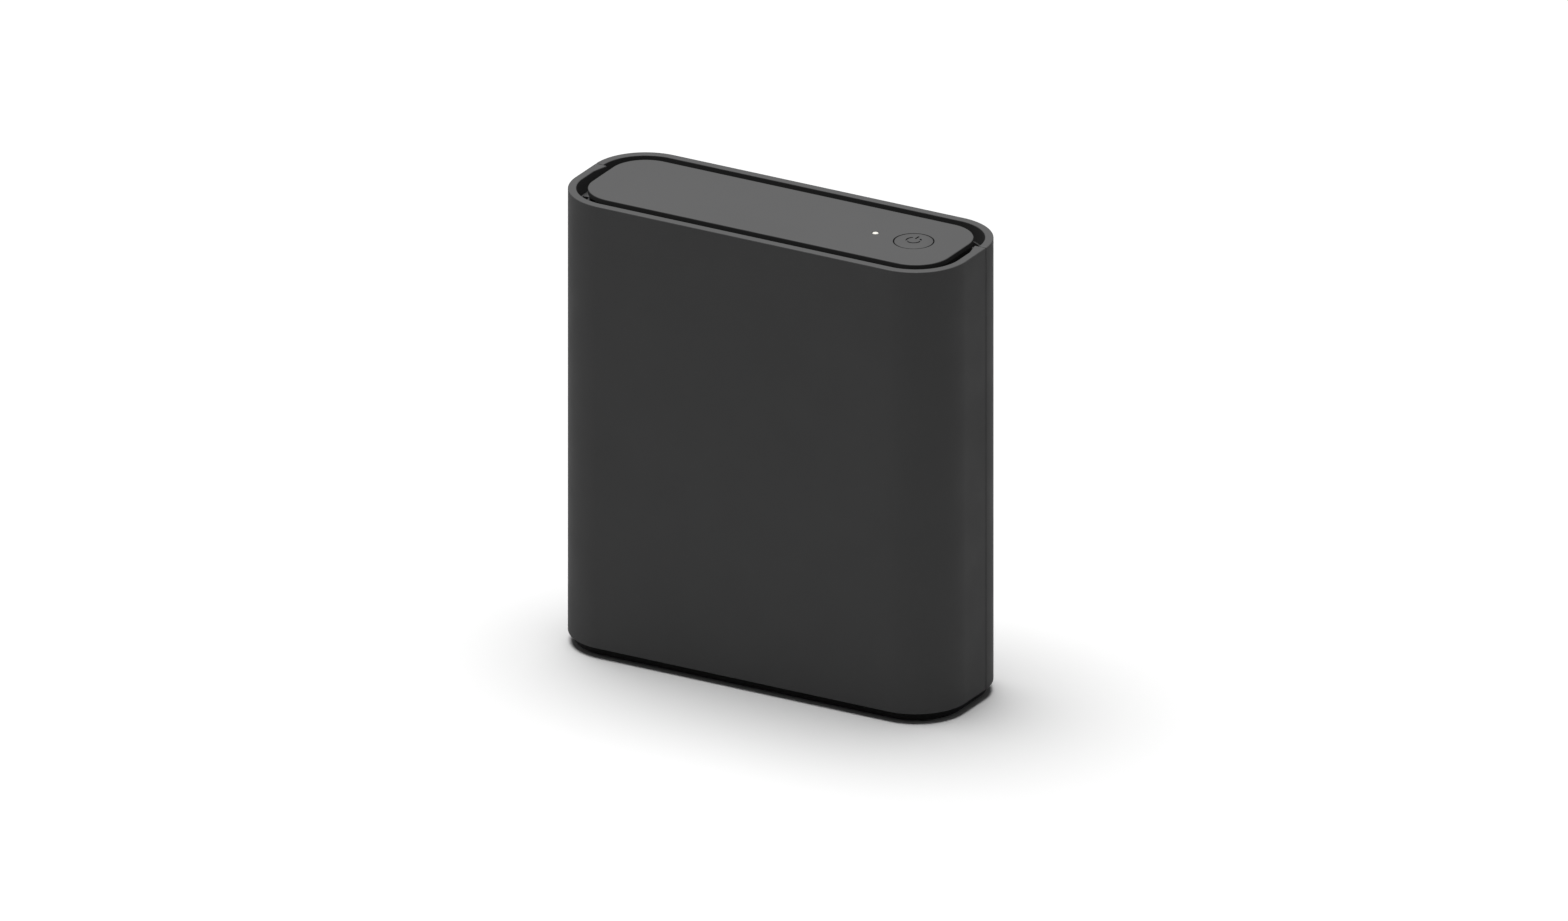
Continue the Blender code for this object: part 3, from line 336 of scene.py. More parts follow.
FINISHES = {
    "casing": casing_finish(),
    "plinth": plinth_finish(),
    "trim": moulded("trim_plastic", (0.016, 0.016, 0.0162), 0.55, 0.3),
    "jack": moulded("socket_plastic", (0.012, 0.012, 0.012), 0.45, 0.15),
    "rubber": moulded("foot_rubber", (0.014, 0.014, 0.014), 0.82, 0.6, 0.2, 0.1),
    "nylon": moulded("nylon", (0.66, 0.65, 0.6), 0.45, 0.12, 0.05, 0.1),
    "chip": moulded("chip_resin", (0.016, 0.016, 0.018), 0.48, 0.25, 0.15, 0.2),
    "board": board_finish(),
    "capacitor": capacitor_finish(),
    "label": label_finish(),
    "lens": light_finish(),
    "led": board_led_finish(),
    "pad": thermal_pad_finish(),
    "aluminium": metal("extruded_aluminium", (0.74, 0.75, 0.76), 0.36, (1, 1, 0.03)),
    "tin": metal("tin_plate", (0.66, 0.66, 0.64), 0.3, (0.05, 1, 1)),
    "steel": metal("zinc_plate", (0.58, 0.58, 0.6), 0.34),
    "gold": metal("gold_plate", (0.86, 0.62, 0.26), 0.25),
    "nickel": metal("nickel_plate", (0.66, 0.64, 0.6), 0.24),
    "ceramic": moulded("ceramic", (0.38, 0.27, 0.16), 0.4, 0.1, 0.08, 0.1),
}


def paint_cad_nodes():
    """Gives every CAD node that stays its finish, by the record's slots."""
    other = {"bulk_capacitor_1": "capacitor", "bulk_capacitor_2": "capacitor", "status_led": "led"}
    for entry in frame["record"]["subparts"]:
        node = frame["nodes"][entry["node"]]
        finish = FINISHES[other.get(entry["node"], entry["material_slot"])]
        node.data.materials.clear()
        node.data.materials.append(finish.material)


# ---------------------------------------------------------------- mesh tools


def arc(cx, cy, radius, start, end, steps=ARC_STEPS):
    angles = [math.radians(start + (end - start) * i / steps) for i in range(steps + 1)]
    return [(cx + radius * math.cos(a), cy + radius * math.sin(a)) for a in angles]


def mirrored(points):
    return [(-x, y) for x, y in points]


def rounded(half_x, half_y, radius, steps=ARC_STEPS, centre=(0, 0)):
    """A rectangle with round corners, anticlockwise."""
    x, y = half_x - radius, half_y - radius
    cx, cy = centre
    corners = ((x, y, 0), (-x, y, 90), (-x, -y, 180), (x, -y, 270))
    return [p for a, b, t in corners for p in arc(cx + a, cy + b, radius, t, t + 90, steps)]


def casing_outline(inset, steps=ARC_STEPS):
    return rounded(HALF_X - inset, HALF_Y - inset, CORNER - inset, steps)


def as_object(name, bm):
    bmesh.ops.recalc_face_normals(bm, faces=bm.faces)
    mesh = bpy.data.meshes.new(name)
    bm.to_mesh(mesh)
    bm.free()
    made = bpy.data.objects.new(name, mesh)
    bpy.context.scene.collection.objects.link(made)
    return made


def sharp_edges(bm, degrees=40):
    limit = math.radians(degrees)
    return [e for e in bm.edges if len(e.link_faces) == 2 and e.calc_face_angle() > limit]


def prism(name, outline, low, high, along="Z", rounding=0.0, segments=3, degrees=40):
    """A closed outline extruded from low to high along Z, or along Y with the outline in XZ."""
    bm = bmesh.new()
    place = (lambda p, t: (p[0], p[1], t)) if along == "Z" else (lambda p, t: (p[0], t, p[1]))
    face = bm.faces.new([bm.verts.new(place(p, low)) for p in outline])
    grown = bmesh.ops.extrude_face_region(bm, geom=[face])["geom"]
    step = Vector(place((0, 0), high - low))
    bmesh.ops.translate(bm, verts=[v for v in grown if isinstance(v, bmesh.types.BMVert)], vec=step)
    bmesh.ops.recalc_face_normals(bm, faces=bm.faces)
    if rounding:
        round_edges(bm, sharp_edges(bm, degrees), rounding, segments)
    return as_object(name, bm)


def round_edges(bm, edges, width, segments=3):
    bmesh.ops.bevel(
        bm, geom=edges, offset=width, segments=segments, profile=0.5, affect="EDGES", clamp_overlap=True
    )


def block(name, corner, opposite, rounding=0.0, segments=2):
    """A box between two opposite corners, given in either order."""
    low = Vector([min(pair) for pair in zip(corner, opposite)])
    high = Vector([max(pair) for pair in zip(corner, opposite)])
    bm = bmesh.new()
    size = Matrix.Diagonal((*(high - low), 1))
    bmesh.ops.create_cube(bm, size=1, matrix=Matrix.Translation((low + high) / 2) @ size)
    if rounding:
        round_edges(bm, list(bm.edges), rounding, segments)
    return as_object(name, bm)


def circle(radius, steps):
    angles = [2 * math.pi * i / steps for i in range(steps)]
    return [(radius * math.cos(a), radius * math.sin(a)) for a in angles]


def skinned(name, rings, looped=False, capped=False):
    """Faces between each ring of points and the next. A ring of one point is a tip."""
    bm = bmesh.new()
    loops = [[bm.verts.new(point) for point in ring] for ring in rings]
    if looped:
        loops.append(loops[0])
    steps = max(len(loop) for loop in loops)
    for a, b in zip(loops, loops[1:]):
        for i in range(steps):
            corners = [a[i % len(a)], a[(i + 1) % len(a)], b[(i + 1) % len(b)], b[i % len(b)]]
            bm.faces.new(list(dict.fromkeys(corners)))
    if capped:
        bm.faces.new(loops[0])
        bm.faces.new(loops[-1])
    return as_object(name, bm)


def turned(name, profile, centre, direction=(0, 0, 1), steps=64):
    """A solid of revolution from (radius, height) points, heights measured from centre."""
    turn = Vector(direction).to_track_quat("Z", "Y").to_matrix().to_4x4()
    at = Matrix.Translation(centre) @ turn
    rings = [[at @ Vector((x, y, h)) for x, y in circle(r, steps if r else 1)] for r, h in profile]
    return skinned(name, rings, looped=profile[0][0] > 0)


def fillet(cx, cy, radius, start, end, steps=6):
    """A short arc for a turned profile."""
    return arc(cx, cy, radius, start, end, steps)


def combine(target, tool, operation):
    """Joins tool to target or cuts it away, and removes the tool."""
    step = target.modifiers.new("step", "BOOLEAN")
    step.operation = operation
    step.solver = "EXACT"
    step.object = tool
    graph = bpy.context.evaluated_depsgraph_get()
    mesh = bpy.data.meshes.new_from_object(target.evaluated_get(graph))
    target.modifiers.remove(step)
    old = target.data
    target.data = mesh
    bpy.data.meshes.remove(old)
    bpy.data.objects.remove(tool)
    return target


def cut(target, *tools):
    for tool in tools:
        combine(target, tool, "DIFFERENCE")
    return target


def join(target, *tools):
    for tool in tools:
        combine(target, tool, "UNION")
    return target


def gather(name, objects):
    """Several shapes as one piece, without a Boolean."""
    bm = bmesh.new()
    for obj in objects:
        bm.from_mesh(obj.data)
        bpy.data.objects.remove(obj)
    return as_object(name, bm)


def weld(obj):
    """Merges the points that Booleans leave less than half a micrometre apart."""
    bm = bmesh.new()
    bm.from_mesh(obj.data)
    bmesh.ops.remove_doubles(bm, verts=bm.verts, dist=0.0005 * MM)
    bm.to_mesh(obj.data)
    bm.free()


def mark_wear(obj):
    """Marks the narrow strips of rounded edges, for the materials' rubbed edges."""
    bm = bmesh.new()
    bm.from_mesh(obj.data)
    values = []
    for face in bm.faces:
        long_side = 0.6 * max(e.calc_length() for e in face.edges)
        sides = [e for e in face.edges if len(e.link_faces) == 2 and e.calc_length() > long_side]
        bends = [math.degrees(e.calc_face_angle_signed(0.0)) for e in sides]
        rounded_over = sum(12 < bend < 65 for bend in bends) >= 2
        width = 2 * face.calc_area() / max(face.calc_perimeter(), 1e-9)
        values.append(float(rounded_over and width < 0.5 * MM))
    bm.free()
    layer = obj.data.attributes.new("wear", "FLOAT", "FACE")
    layer.data.foreach_set("value", values)


def finish_piece(obj, slot, body, replaced=(), finish=None, sharp=45.0):
    """Cleans, shades, paints and hangs a piece on its CAD body."""
    weld(obj)
    obj.data.shade_smooth()
    obj.data.set_sharp_from_angle(angle=math.radians(sharp))
    mark_wear(obj)
    even = obj.modifiers.new("even_normals", "WEIGHTED_NORMAL")
    even.keep_sharp = True
    obj.data.materials.clear()
    obj.data.materials.append(FINISHES[finish or slot].material)
    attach(obj, body)
    if replaced:
        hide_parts(*replaced)
    return obj


# ---------------------------------------------------------------- shells


def front_plan():
    """Plan of the front shell: front, front corners, ends and the thicker lands by the seam."""
    cx, cy = HALF_X - CORNER, -(HALF_Y - CORNER)
    edge = SEAM_Y - SEAM_GAP / 2
    outer = [(HALF_X, edge)] + arc(cx, cy, CORNER, 0, -90)
    inner = arc(cx, cy, CORNER - WALL, -90, 0)
    inner += [(HALF_X - WALL, edge - LAND_LENGTH), (HALF_X - WALL - LAND, edge)]
    return outer + mirrored(outer)[::-1] + mirrored(inner)[::-1] + inner


def rear_plan():
    """Plan of the rear shell: the back and the rear corners."""
    cx, cy = HALF_X - CORNER, HALF_Y - CORNER
    edge = REAR_LOW.y

    def quarter(radius):
        return arc(cx, cy, radius, math.degrees(math.asin((edge - cy) / radius)), 90)

    outer, inner = quarter(CORNER), quarter(CORNER - WALL)
    return outer + mirrored(outer)[::-1] + mirrored(inner) + inner[::-1]


def shell_wall(name, plan):
    """The plan extruded to the rim, its rim and foot well rounded, and its seam edges barely so."""
    corners = []
    for before, at, after in zip(plan[-1:] + plan[:-1], plan, plan[1:] + plan[:1]):
        coming, going = Vector(at) - Vector(before), Vector(after) - Vector(at)
        if coming.angle(going) > math.radians(60):
            corners.append(Vector(at))
    made = prism(name, plan, SHELL_BOTTOM, RIM_TOP)
    bm = bmesh.new()
    bm.from_mesh(made.data)
    rims = [e for e in sharp_edges(bm) if abs(e.verts[0].co.z - e.verts[1].co.z) < 1e-7]
    round_edges(bm, rims, RIM_ROUND, 4)
    seams = [
        e for e in bm.edges if len(e.link_faces) == 2 and e.calc_face_angle() > math.radians(3)
        and any(all((v.co.xy - c).length < 1.6 * RIM_ROUND for v in e.verts) for c in corners)
    ]
    round_edges(bm, seams, SEAM_ROUND, 2)
    bm.to_mesh(made.data)
    bm.free()
    return made


def screw_post(x, y):
    """A post, and the tool for its pilot hole, which takes a base screw."""
    profile = [(0, POST_TOP), (POST_RADIUS, POST_TOP), (POST_RADIUS, POST_BOTTOM), (0, POST_BOTTOM)]
    tip, shoulder, mouth = 15 * MM, 14.4 * MM, 6.4 * MM
    pilot = [(0, tip), (PILOT_RADIUS, shoulder), (PILOT_RADIUS, 7 * MM), (1.8 * MM, mouth), (0, mouth)]
    return turned("post", profile, (x, y, 0), steps=40), turned("pilot", pilot, (x, y, 0), steps=32)


def ring_ledges(side):
    """Shelves under the vent ring."""
    face = HALF_Y - WALL
    for x in LEDGE_X:
        near, far = side * (face - 3.2 * MM), side * (face + 0.6 * MM)
        yield block("ledge", (x - 4 * MM, near, RING_LOW.z - 2.1 * MM), (x + 4 * MM, far, RING_LOW.z - FIT))


def board_boss(screw):
    """A boss on the front wall with a flared foot, and the tool for its pilot hole."""
    wall = -(HALF_Y - WALL)
    end, floor, root = BOARD_LOW.y - FIT, wall + 4 * MM, wall - 0.6 * MM
    flare = 1.2 * MM
    profile = [(0, end), (3.0 * MM, end), (3.2 * MM, end - 0.2 * MM)]
    profile += fillet(4.4 * MM, wall + flare, flare, 180, 270, 5) + [(4.4 * MM, root), (0, root)]
    pilot = [(0, end + MM), (1.5 * MM, end + MM), (PILOT_RADIUS, end - 0.4 * MM)]
    pilot += [(PILOT_RADIUS, floor), (0, floor)]
    at = (screw.x, 0, screw.z)
    return turned("boss", profile, at, ALONG_Y, 40), turned("pilot", pilot, at, ALONG_Y, 32)


def add_screw_posts(made, side):
    for screw in BASE_SCREWS:
        if screw.y * side > 0:
            post, pilot = screw_post(screw.x, screw.y)
            cut(join(made, post), pilot)


def front_shell():
    """The front moulding with its bosses, posts, ledges, seam tongues and snap tabs."""
    made = shell_wall("front_shell_moulding", front_plan())
    for screw in BOARD_SCREWS:
        boss, pilot = board_boss(screw)
        cut(join(made, boss), pilot)
    add_screw_posts(made, -1)
    join(made, *ring_ledges(-1))
    for side in (-1, 1):
        near, far = side * TONGUE_X[0], side * TONGUE_X[1]
        top = RING_LOW.z - 0.2 * MM
        low, high = (near, SEAM_Y - 0.55 * MM, POST_BOTTOM), (far, SEAM_Y + 1.15 * MM, top)
        join(made, block("tongue", low, high, 0.12 * MM))
        near, far = side * SNAP_TAB_X[0], side * SNAP_TAB_X[1]
        for z in SNAP_HEIGHTS:
            tab = block("tab", (near, SEAM_Y - 3 * MM, z - 5 * MM), (far, SEAM_Y + 3.85 * MM, z + 5 * MM))
            low = (near - side * MM, SEAM_Y + 1.05 * MM, z - 2.6 * MM)
            high = (far + side * MM, SEAM_Y + 3.05 * MM, z + 2.6 * MM)
            cut(join(made, tab), block("window", low, high))
    return finish_piece(made, "casing", "case", ["front_shell"])


def rear_shell():
    """The rear moulding with its port opening, posts, ledges and snap catches."""
    made = shell_wall("rear_shell_moulding", rear_plan())
    play = 0.3 * MM
    hole = rounded(TRAY_HALF_X + play, TRAY_HALF_Z + play, 3.3 * MM, 12, (0, PORT_Z))
    cut(made, prism("opening", hole, HALF_Y - 8 * MM, HALF_Y + 8 * MM, "Y"))
    bm = bmesh.new()
    bm.from_mesh(made.data)
    lip = [
        e for e in sharp_edges(bm)
        if all(
            v.co.y > HALF_Y - 1e-6
            and abs(v.co.x) < TRAY_HALF_X + MM
            and abs(v.co.z - PORT_Z) < TRAY_HALF_Z + MM
            for v in e.verts
        )
    ]
    round_edges(bm, lip, RIM_ROUND)
    bm.to_mesh(made.data)
    bm.free()
    add_screw_posts(made, 1)
    join(made, *ring_ledges(1))
    for side in (-1, 1):
        near, far = side * SNAP_CATCH_X[0], side * SNAP_CATCH_X[1]
        for z in SNAP_HEIGHTS:
            low, high = (near, SEAM_Y + 1.35 * MM, z - 2.2 * MM), (far, SEAM_Y + 2.75 * MM, z + 2.2 * MM)
            join(made, block("catch", low, high))
    return finish_piece(made, "casing", "case", ["rear_shell"])


# ---------------------------------------------------------------- plinth and feet


def land_notches(bottom, top):
    """Tools that clear the seam lands from a ring inside the shells."""
    for side in (-1, 1):
        near, far = side * (HALF_X - WALL - LAND - 0.3 * MM), side * HALF_X
        yield block("notch", (near, SEAM_Y - LAND_LENGTH - 0.5 * MM, bottom), (far, SEAM_Y + 0.4 * MM, top))


def plinth():
    """The base with its floor slots, the rim inside the shells, and a screw well under each post."""
    top = SHELL_BOTTOM - FIT
    made = prism("plinth_moulding", casing_outline(PLINTH_INSET), PLINTH_LOW.z, top, rounding=0.4 * MM)
    for y in (-9 * MM, 9 * MM):
        for i in range(-5, 6):
            slot = rounded(1.1 * MM, 6 * MM, 0.6 * MM, 4, (i * 7.5 * MM, y))
            cut(made, prism("vent", slot, PLINTH_LOW.z - MM, top + MM))
    outer = casing_outline(WALL + 0.3 * MM)
    rim = prism("rim", outer, top - 0.4 * MM, PLINTH_HIGH.z - FIT, rounding=0.2 * MM)
    cut(rim, prism("hollow", casing_outline(WALL + 2.1 * MM), top - MM, PLINTH_HIGH.z + MM))
    join(made, cut(rim, *land_notches(top + FIT, PLINTH_HIGH.z + MM)))
    for screw in BASE_SCREWS:
        at = (screw.x, screw.y, 0)
        radius, root = POST_RADIUS - 0.3 * MM, top - MM
        seat = [(0, PLINTH_HIGH.z), (radius, PLINTH_HIGH.z), (radius, root), (0, root)]
        shank, head, pad = 1.5 * MM, 2.7 * MM, 4.35 * MM
        head_top, pad_top = 3.3 * MM, 1.1 * MM
        well = [(0, 8 * MM), (shank, 8 * MM), (shank, head_top), (head, head_top), (head, pad_top)]
        well += [(pad, pad_top), (pad, 0), (0, 0)]
        cut(join(made, turned("seat", seat, at, steps=48)), turned("well", well, at, steps=48))
    return finish_piece(made, "plinth", "case", ["plinth"])


def foot(number):
    """A round rubber pad with a rounded rim and two moulded rings underneath."""
    low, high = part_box(f"rubber_foot_{number}")
    radius = (high.x - low.x) / 2
    rim = fillet(radius - 0.35 * MM, 0.35 * MM, 0.35 * MM, 0, -90)
    grooves = []
    deep = 0.18 * MM
    for r in (2.6 * MM, 1.3 * MM):
        grooves += [(r + 0.25 * MM, 0), (r + 0.1 * MM, deep), (r - 0.1 * MM, deep), (r - 0.25 * MM, 0)]
    top = high.z
    profile = [(0, top), (radius - 0.1 * MM, top), (radius, top - 0.1 * MM)] + rim + grooves + [(0, 0)]
    at = ((low.x + high.x) / 2, (low.y + high.y) / 2, 0)
    made = turned(f"foot_pad_{number}", profile, at)
    return finish_piece(made, "rubber", "case", [f"rubber_foot_{number}"])


# ---------------------------------------------------------------- top


def top_plate():
    """The plate in the rim, with its skirt and legs, and rounded holes for the button and light."""
    made = prism("top_plate_moulding", casing_outline(PLATE_INSET), RIM_TOP - PLATE_THICKNESS, RIM_TOP,
                 rounding=RIM_ROUND, segments=4)
    button, light = middle("power_button"), middle("light_pipe")
    for at, radius, lip in ((button, BUTTON_HOLE, 0.12 * MM), (light, 1.15 * MM, 0.1 * MM)):
        edge = fillet(radius + lip, -lip, lip, 90, 180)
        profile = [(0, 2 * MM), (radius + lip, 2 * MM)] + edge + [(radius, -4 * MM), (0, -4 * MM)]
        cut(made, turned("hole", profile, (at.x, at.y, RIM_TOP), steps=96))
    bottom = RING_HIGH.z + FIT
    top = RIM_TOP - PLATE_THICKNESS + 0.6 * MM
    skirt = prism("skirt", casing_outline(PLATE_INSET + 0.45 * MM), bottom, top, rounding=0.15 * MM)
    cut(skirt, prism("hollow", casing_outline(PLATE_INSET + 1.6 * MM), bottom - MM, top + MM))
    join(made, skirt)
    edge = HALF_Y - RING_OPENING_INSET
    for x in PLATE_LEG_X:
        left, right = x - 2.5 * MM, x + 2.5 * MM
        for side in (-1, 1):
            near, far = side * (edge - 1.5 * MM), side * (edge - 0.3 * MM)
            leg = block("leg", (left, near, PLATE_LOW.z), (right, far, top - 0.1 * MM))
            near, far = side * (edge - 0.8 * MM), side * (edge + 0.7 * MM)
            hook = block("hook", (left, near, PLATE_LOW.z), (right, far, RING_LOW.z - FIT))
            join(made, leg, hook)
    return finish_piece(made, "casing", "case", ["top_plate"])


def vent_ring():
    """The slotted frame at the bottom of the gap, its slots following the corners."""
    low, high = RING_LOW.z, RING_HIGH.z
    made = prism("vent_ring_moulding", casing_outline(WALL + 0.15 * MM), low, high, rounding=0.2 * MM)
    half_x, half_y = HALF_X - RING_OPENING_INSET, HALF_Y - RING_OPENING_INSET
    bridge_low, bridge_high = RING_BRIDGE
    outlines = [
        rounded((bridge_low + half_x) / 2, half_y, 5 * MM, 12, ((bridge_low - half_x) / 2, 0)),
        rounded((half_x - bridge_high) / 2, half_y - 3 * MM, 2 * MM, 8, ((half_x + bridge_high) / 2, 0)),
    ]
    for node, radius in (("power_button", STEM_RADIUS + 0.3 * MM), ("light_pipe", 1.9 * MM)):
        centre = middle(node)
        outlines.append(arc(centre.x, centre.y, radius, 0, 360, 32)[:-1])
    far, near = RING_SLOT_INSET
    run_x, run_y = HALF_X - CORNER, HALF_Y - CORNER
    half_width, pitch, rib = (near - far) / 2, run_x / 5, 0.6 * MM
    for i in range(10):
        x = -run_x + pitch * (i + 0.5)
        for side in (-1, 1):
            centre = (x, side * (HALF_Y - (near + far) / 2))
            outlines.append(rounded(pitch / 2 - 1.2 * MM, half_width, 0.4 * MM, 4, centre))
    end_slot = (run_y - LAND_LENGTH / 2 - rib) / 2
    for side in (-1, 1):
        centre = (side * (HALF_X - (near + far) / 2), end_slot + rib - run_y)
        outlines.append(rounded(half_width, end_slot - rib, 0.4 * MM, 4, centre))
    for sx, sy, base in ((1, 1, 0), (-1, 1, 90), (-1, -1, 180), (1, -1, 270)):
        for start in (6, 50):
            first, last = base + start, base + start + 34
            outer = arc(sx * run_x, sy * run_y, CORNER - far, first, last, 14)
            outlines.append(outer + arc(sx * run_x, sy * run_y, CORNER - near, last, first, 14))
    cut(made, gather("slots", [prism("slot", o, low - MM, high + MM) for o in outlines]))
    cut(made, *land_notches(low - MM, high + MM))
    return finish_piece(made, "trim", "case", ["vent_ring"])


def power_mark(depth_at):
    """Cutters for a plain power mark: an open ring, and a bar in its gap."""
    centre = middle("power_button")
    radius, half_stroke, gap = 2.25 * MM, 0.3 * MM, 35
    ring = arc(centre.x, centre.y, radius + half_stroke, 90 + gap, 450 - gap, 48)
    ring += arc(centre.x, centre.y, radius - half_stroke, 450 - gap, 90 + gap, 48)
    bar = rounded(half_stroke, 1.1 * MM, 0.2 * MM, 6, (centre.x, centre.y + radius))
    for outline in (ring, bar):
        yield prism("mark", outline, depth_at, depth_at + 2 * MM)


def power_button():
    """The cap: a shallow dome, flat round its mark, with a rolled edge, a flange and its stem."""
    dome, stem = BUTTON_HIGH.z - RIM_TOP, BUTTON_LOW.z - RIM_TOP
    roll = 0.2 * MM
    flat, edge, flange = 3.6 * MM, BUTTON_RADIUS - roll, BUTTON_HOLE + 0.85 * MM
    profile = [(0, dome), (flat - 0.15 * MM, dome)]
    for i in range(10):
        r = flat + (edge - flat) * i / 9
        profile.append((r, dome * (1 - ((r - flat) / (edge - flat)) ** 2)))
    profile += fillet(edge, -roll, roll, 90, 0)[1:]
    profile += [(BUTTON_RADIUS, FLANGE_TOP), (flange, FLANGE_TOP), (flange, FLANGE_BOTTOM)]
    profile += [(STEM_RADIUS, FLANGE_BOTTOM), (STEM_RADIUS, stem + roll)]
    profile += [(STEM_RADIUS - roll, stem), (0, stem)]
    centre = middle("power_button")
    made = turned("power_button_cap", profile, (centre.x, centre.y, RIM_TOP), steps=96)
    cut(made, *power_mark(RIM_TOP - 0.1 * MM))
    return finish_piece(made, "casing", "power_button", ["power_button"], sharp=38)


def light_pipe():
    """The clear rod: a rounded tip in the plate, a collar under it, and a stem down to the board."""
    centre = middle("light_pipe")
    tip, collar, stem = 0.3 * MM, 2.4 * MM, 1.5 * MM
    seat, foot_at = RING_HIGH.z + FIT, PIPE_LOW.z
    shoulder = RIM_TOP - PLATE_THICKNESS - FIT
    profile = [(0, RIM_TOP)] + fillet(LIGHT_RADIUS - tip, RIM_TOP - tip, tip, 90, 0)
    profile += [(LIGHT_RADIUS, shoulder), (2.3 * MM, shoulder), (collar, shoulder - 0.1 * MM), (collar, seat)]
    profile += [(stem, seat), (stem, foot_at + 0.2 * MM), (1.3 * MM, foot_at), (0, foot_at)]
    made = turned("light_pipe_rod", profile, (centre.x, centre.y, 0), steps=48)
    return finish_piece(made, "lens", "case", ["light_pipe"])


# ---------------------------------------------------------------- ports


def port_tray():
    """The recess at the back, with its socket holes and the flange behind the shell."""
    mouth, back = TRAY_HIGH.y, TRAY_LOW.y
    half_x, half_z, at = TRAY_HALF_X, TRAY_HALF_Z, (0, PORT_Z)
    outer = rounded(half_x, half_z, 3 * MM, 12, at)
    made = prism("port_tray_moulding", outer, back, mouth, "Y", 0.25 * MM)
    inner = rounded(half_x - TRAY_WALL, half_z - TRAY_WALL, 1.5 * MM, 10, at)
    cut(made, prism("recess", inner, TRAY_FLOOR_AT, mouth + MM, "Y"))
    outer = rounded(half_x + TRAY_FLANGE, half_z + TRAY_FLANGE, 4 * MM, 10, at)
    near, far = HALF_Y - WALL - 1.7 * MM, HALF_Y - WALL - 0.2 * MM
    flange = prism("flange", outer, near, far, "Y", 0.2 * MM)
    inner = rounded(half_x - 0.5 * MM, half_z - 0.5 * MM, 2.5 * MM, 10, at)
    join(made, cut(flange, prism("hole", inner, 0, HALF_Y, "Y")))
    play = 0.6 * MM
    for jack in ("ethernet_jack_1", "ethernet_jack_2"):
        low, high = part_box(jack)
        centre = middle(jack)
        wide, tall = (high.x - low.x) / 2 + play, (high.z - low.z) / 2 + play
        opening = rounded(wide, tall, 0.5 * MM, 5, (centre.x, centre.z))
        cut(made, prism("opening", opening, back - MM, TRAY_FLOOR_AT + MM, "Y"))
    holes = (("coax_nut", 5.1, 0.2), ("power_jack_pin", 4.4, 0.25), ("reset_switch_plunger", 1.1, 0.3))
    for node, radius, lip in holes:
        edge = [(r * MM, h * MM) for r, h in arc(radius + lip, -lip, lip, 90, 180, 5)]
        profile = [(0, MM), ((radius + lip) * MM, MM)] + edge + [(radius * MM, -3 * MM), (0, -3 * MM)]
        cut(made, turned("hole", profile, (middle(node).x, TRAY_FLOOR_AT, PORT_Z), ALONG_Y))
    return finish_piece(made, "trim", "case", ["port_tray"])


def ethernet_jack(number):
    """Housing with a chamfered mouth and two light windows, wire contacts and a sprung tin shield."""
    node = f"ethernet_jack_{number}"
    low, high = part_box(node)
    x, front = (low.x + high.x) / 2, high.y
    half_x, half_z = (high.x - low.x) / 2, (high.z - low.z) / 2
    housing = block(f"ethernet_housing_{number}", low, high, 0.15 * MM)
    mouth_low, mouth_high, step_high = low.z + 1.2 * MM, low.z + 8.4 * MM, low.z + 10.8 * MM
    wide, narrow = 5.95 * MM, 3.2 * MM

    def mouth(grow):
        return [
            (x - wide - grow, mouth_low - grow), (x + wide + grow, mouth_low - grow),
            (x + wide + grow, mouth_high + grow), (x + narrow + grow, mouth_high + grow),
            (x + narrow + grow, step_high + grow), (x - narrow - grow, step_high + grow),
            (x - narrow - grow, mouth_high + grow), (x - wide - grow, mouth_high + grow),
        ]

    cut(housing, prism("cavity", mouth(0), front - 12 * MM, front + MM, "Y"))
    cut(housing, prism("lead_in", mouth(0.3 * MM), front - 0.4 * MM, front + MM, "Y"))
    windows = []
    for side in (-1, 1):
        at = (x + side * (half_x - 2.0 * MM), high.z - 2.0 * MM)
        outline = rounded(1.15 * MM, 1.0 * MM, 0.25 * MM, 4, at)
        cut(housing, prism("window", outline, front - 2 * MM, front + MM, "Y"))
        pane = rounded(1.1 * MM, 0.95 * MM, 0.2 * MM, 4, at)
        windows.append(prism("pane", pane, front - 1.9 * MM, front - 0.1 * MM, "Y", 0.1 * MM))
    finish_piece(housing, "jack", "case", [node])
    finish_piece(gather(f"ethernet_windows_{number}", windows), "lens", "case", finish="nylon")

    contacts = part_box(f"ethernet_contacts_{number}")
    start, end = contacts
    corner = (end.x, start.y + 1.4 * MM, start.z + 1.5 * MM)
    carrier = block(f"ethernet_carrier_{number}", start, corner, 0.1 * MM)
    finish_piece(carrier, "gold", "case", finish="jack")
    wires = [contact_wire(x + (i - 3.5) * 1.02 * MM, contacts) for i in range(8)]
    wires = gather(f"ethernet_wires_{number}", wires)
    finish_piece(wires, "gold", "case", [f"ethernet_contacts_{number}"])

    low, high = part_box(f"ethernet_shield_{number}")
    at = (x, PORT_Z)
    outline = rounded((high.x - low.x) / 2, (high.z - low.z) / 2, 0.4 * MM, 5, at)
    shield = prism(f"ethernet_can_{number}", outline, low.y, high.y, "Y", 0.08 * MM, 2, 60)
    inside = rounded(half_x + FIT, half_z + FIT, 0.15 * MM, 5, at)
    cut(shield, prism("inside", inside, low.y - MM, high.y + MM, "Y"))
    for side in (-1, 1):
        near = x + side * (half_x + 0.5 * MM)
        for y in (2.5 * MM, 8.5 * MM):
            corner = (near - 0.6 * MM, y - 0.2 * MM, PORT_Z - 3 * MM)
            opposite = (near + 0.6 * MM, y + 0.2 * MM, PORT_Z + 3 * MM)
            cut(shield, block("spring_slot", corner, opposite))
    finish_piece(shield, "tin", "case", [f"ethernet_shield_{number}"])


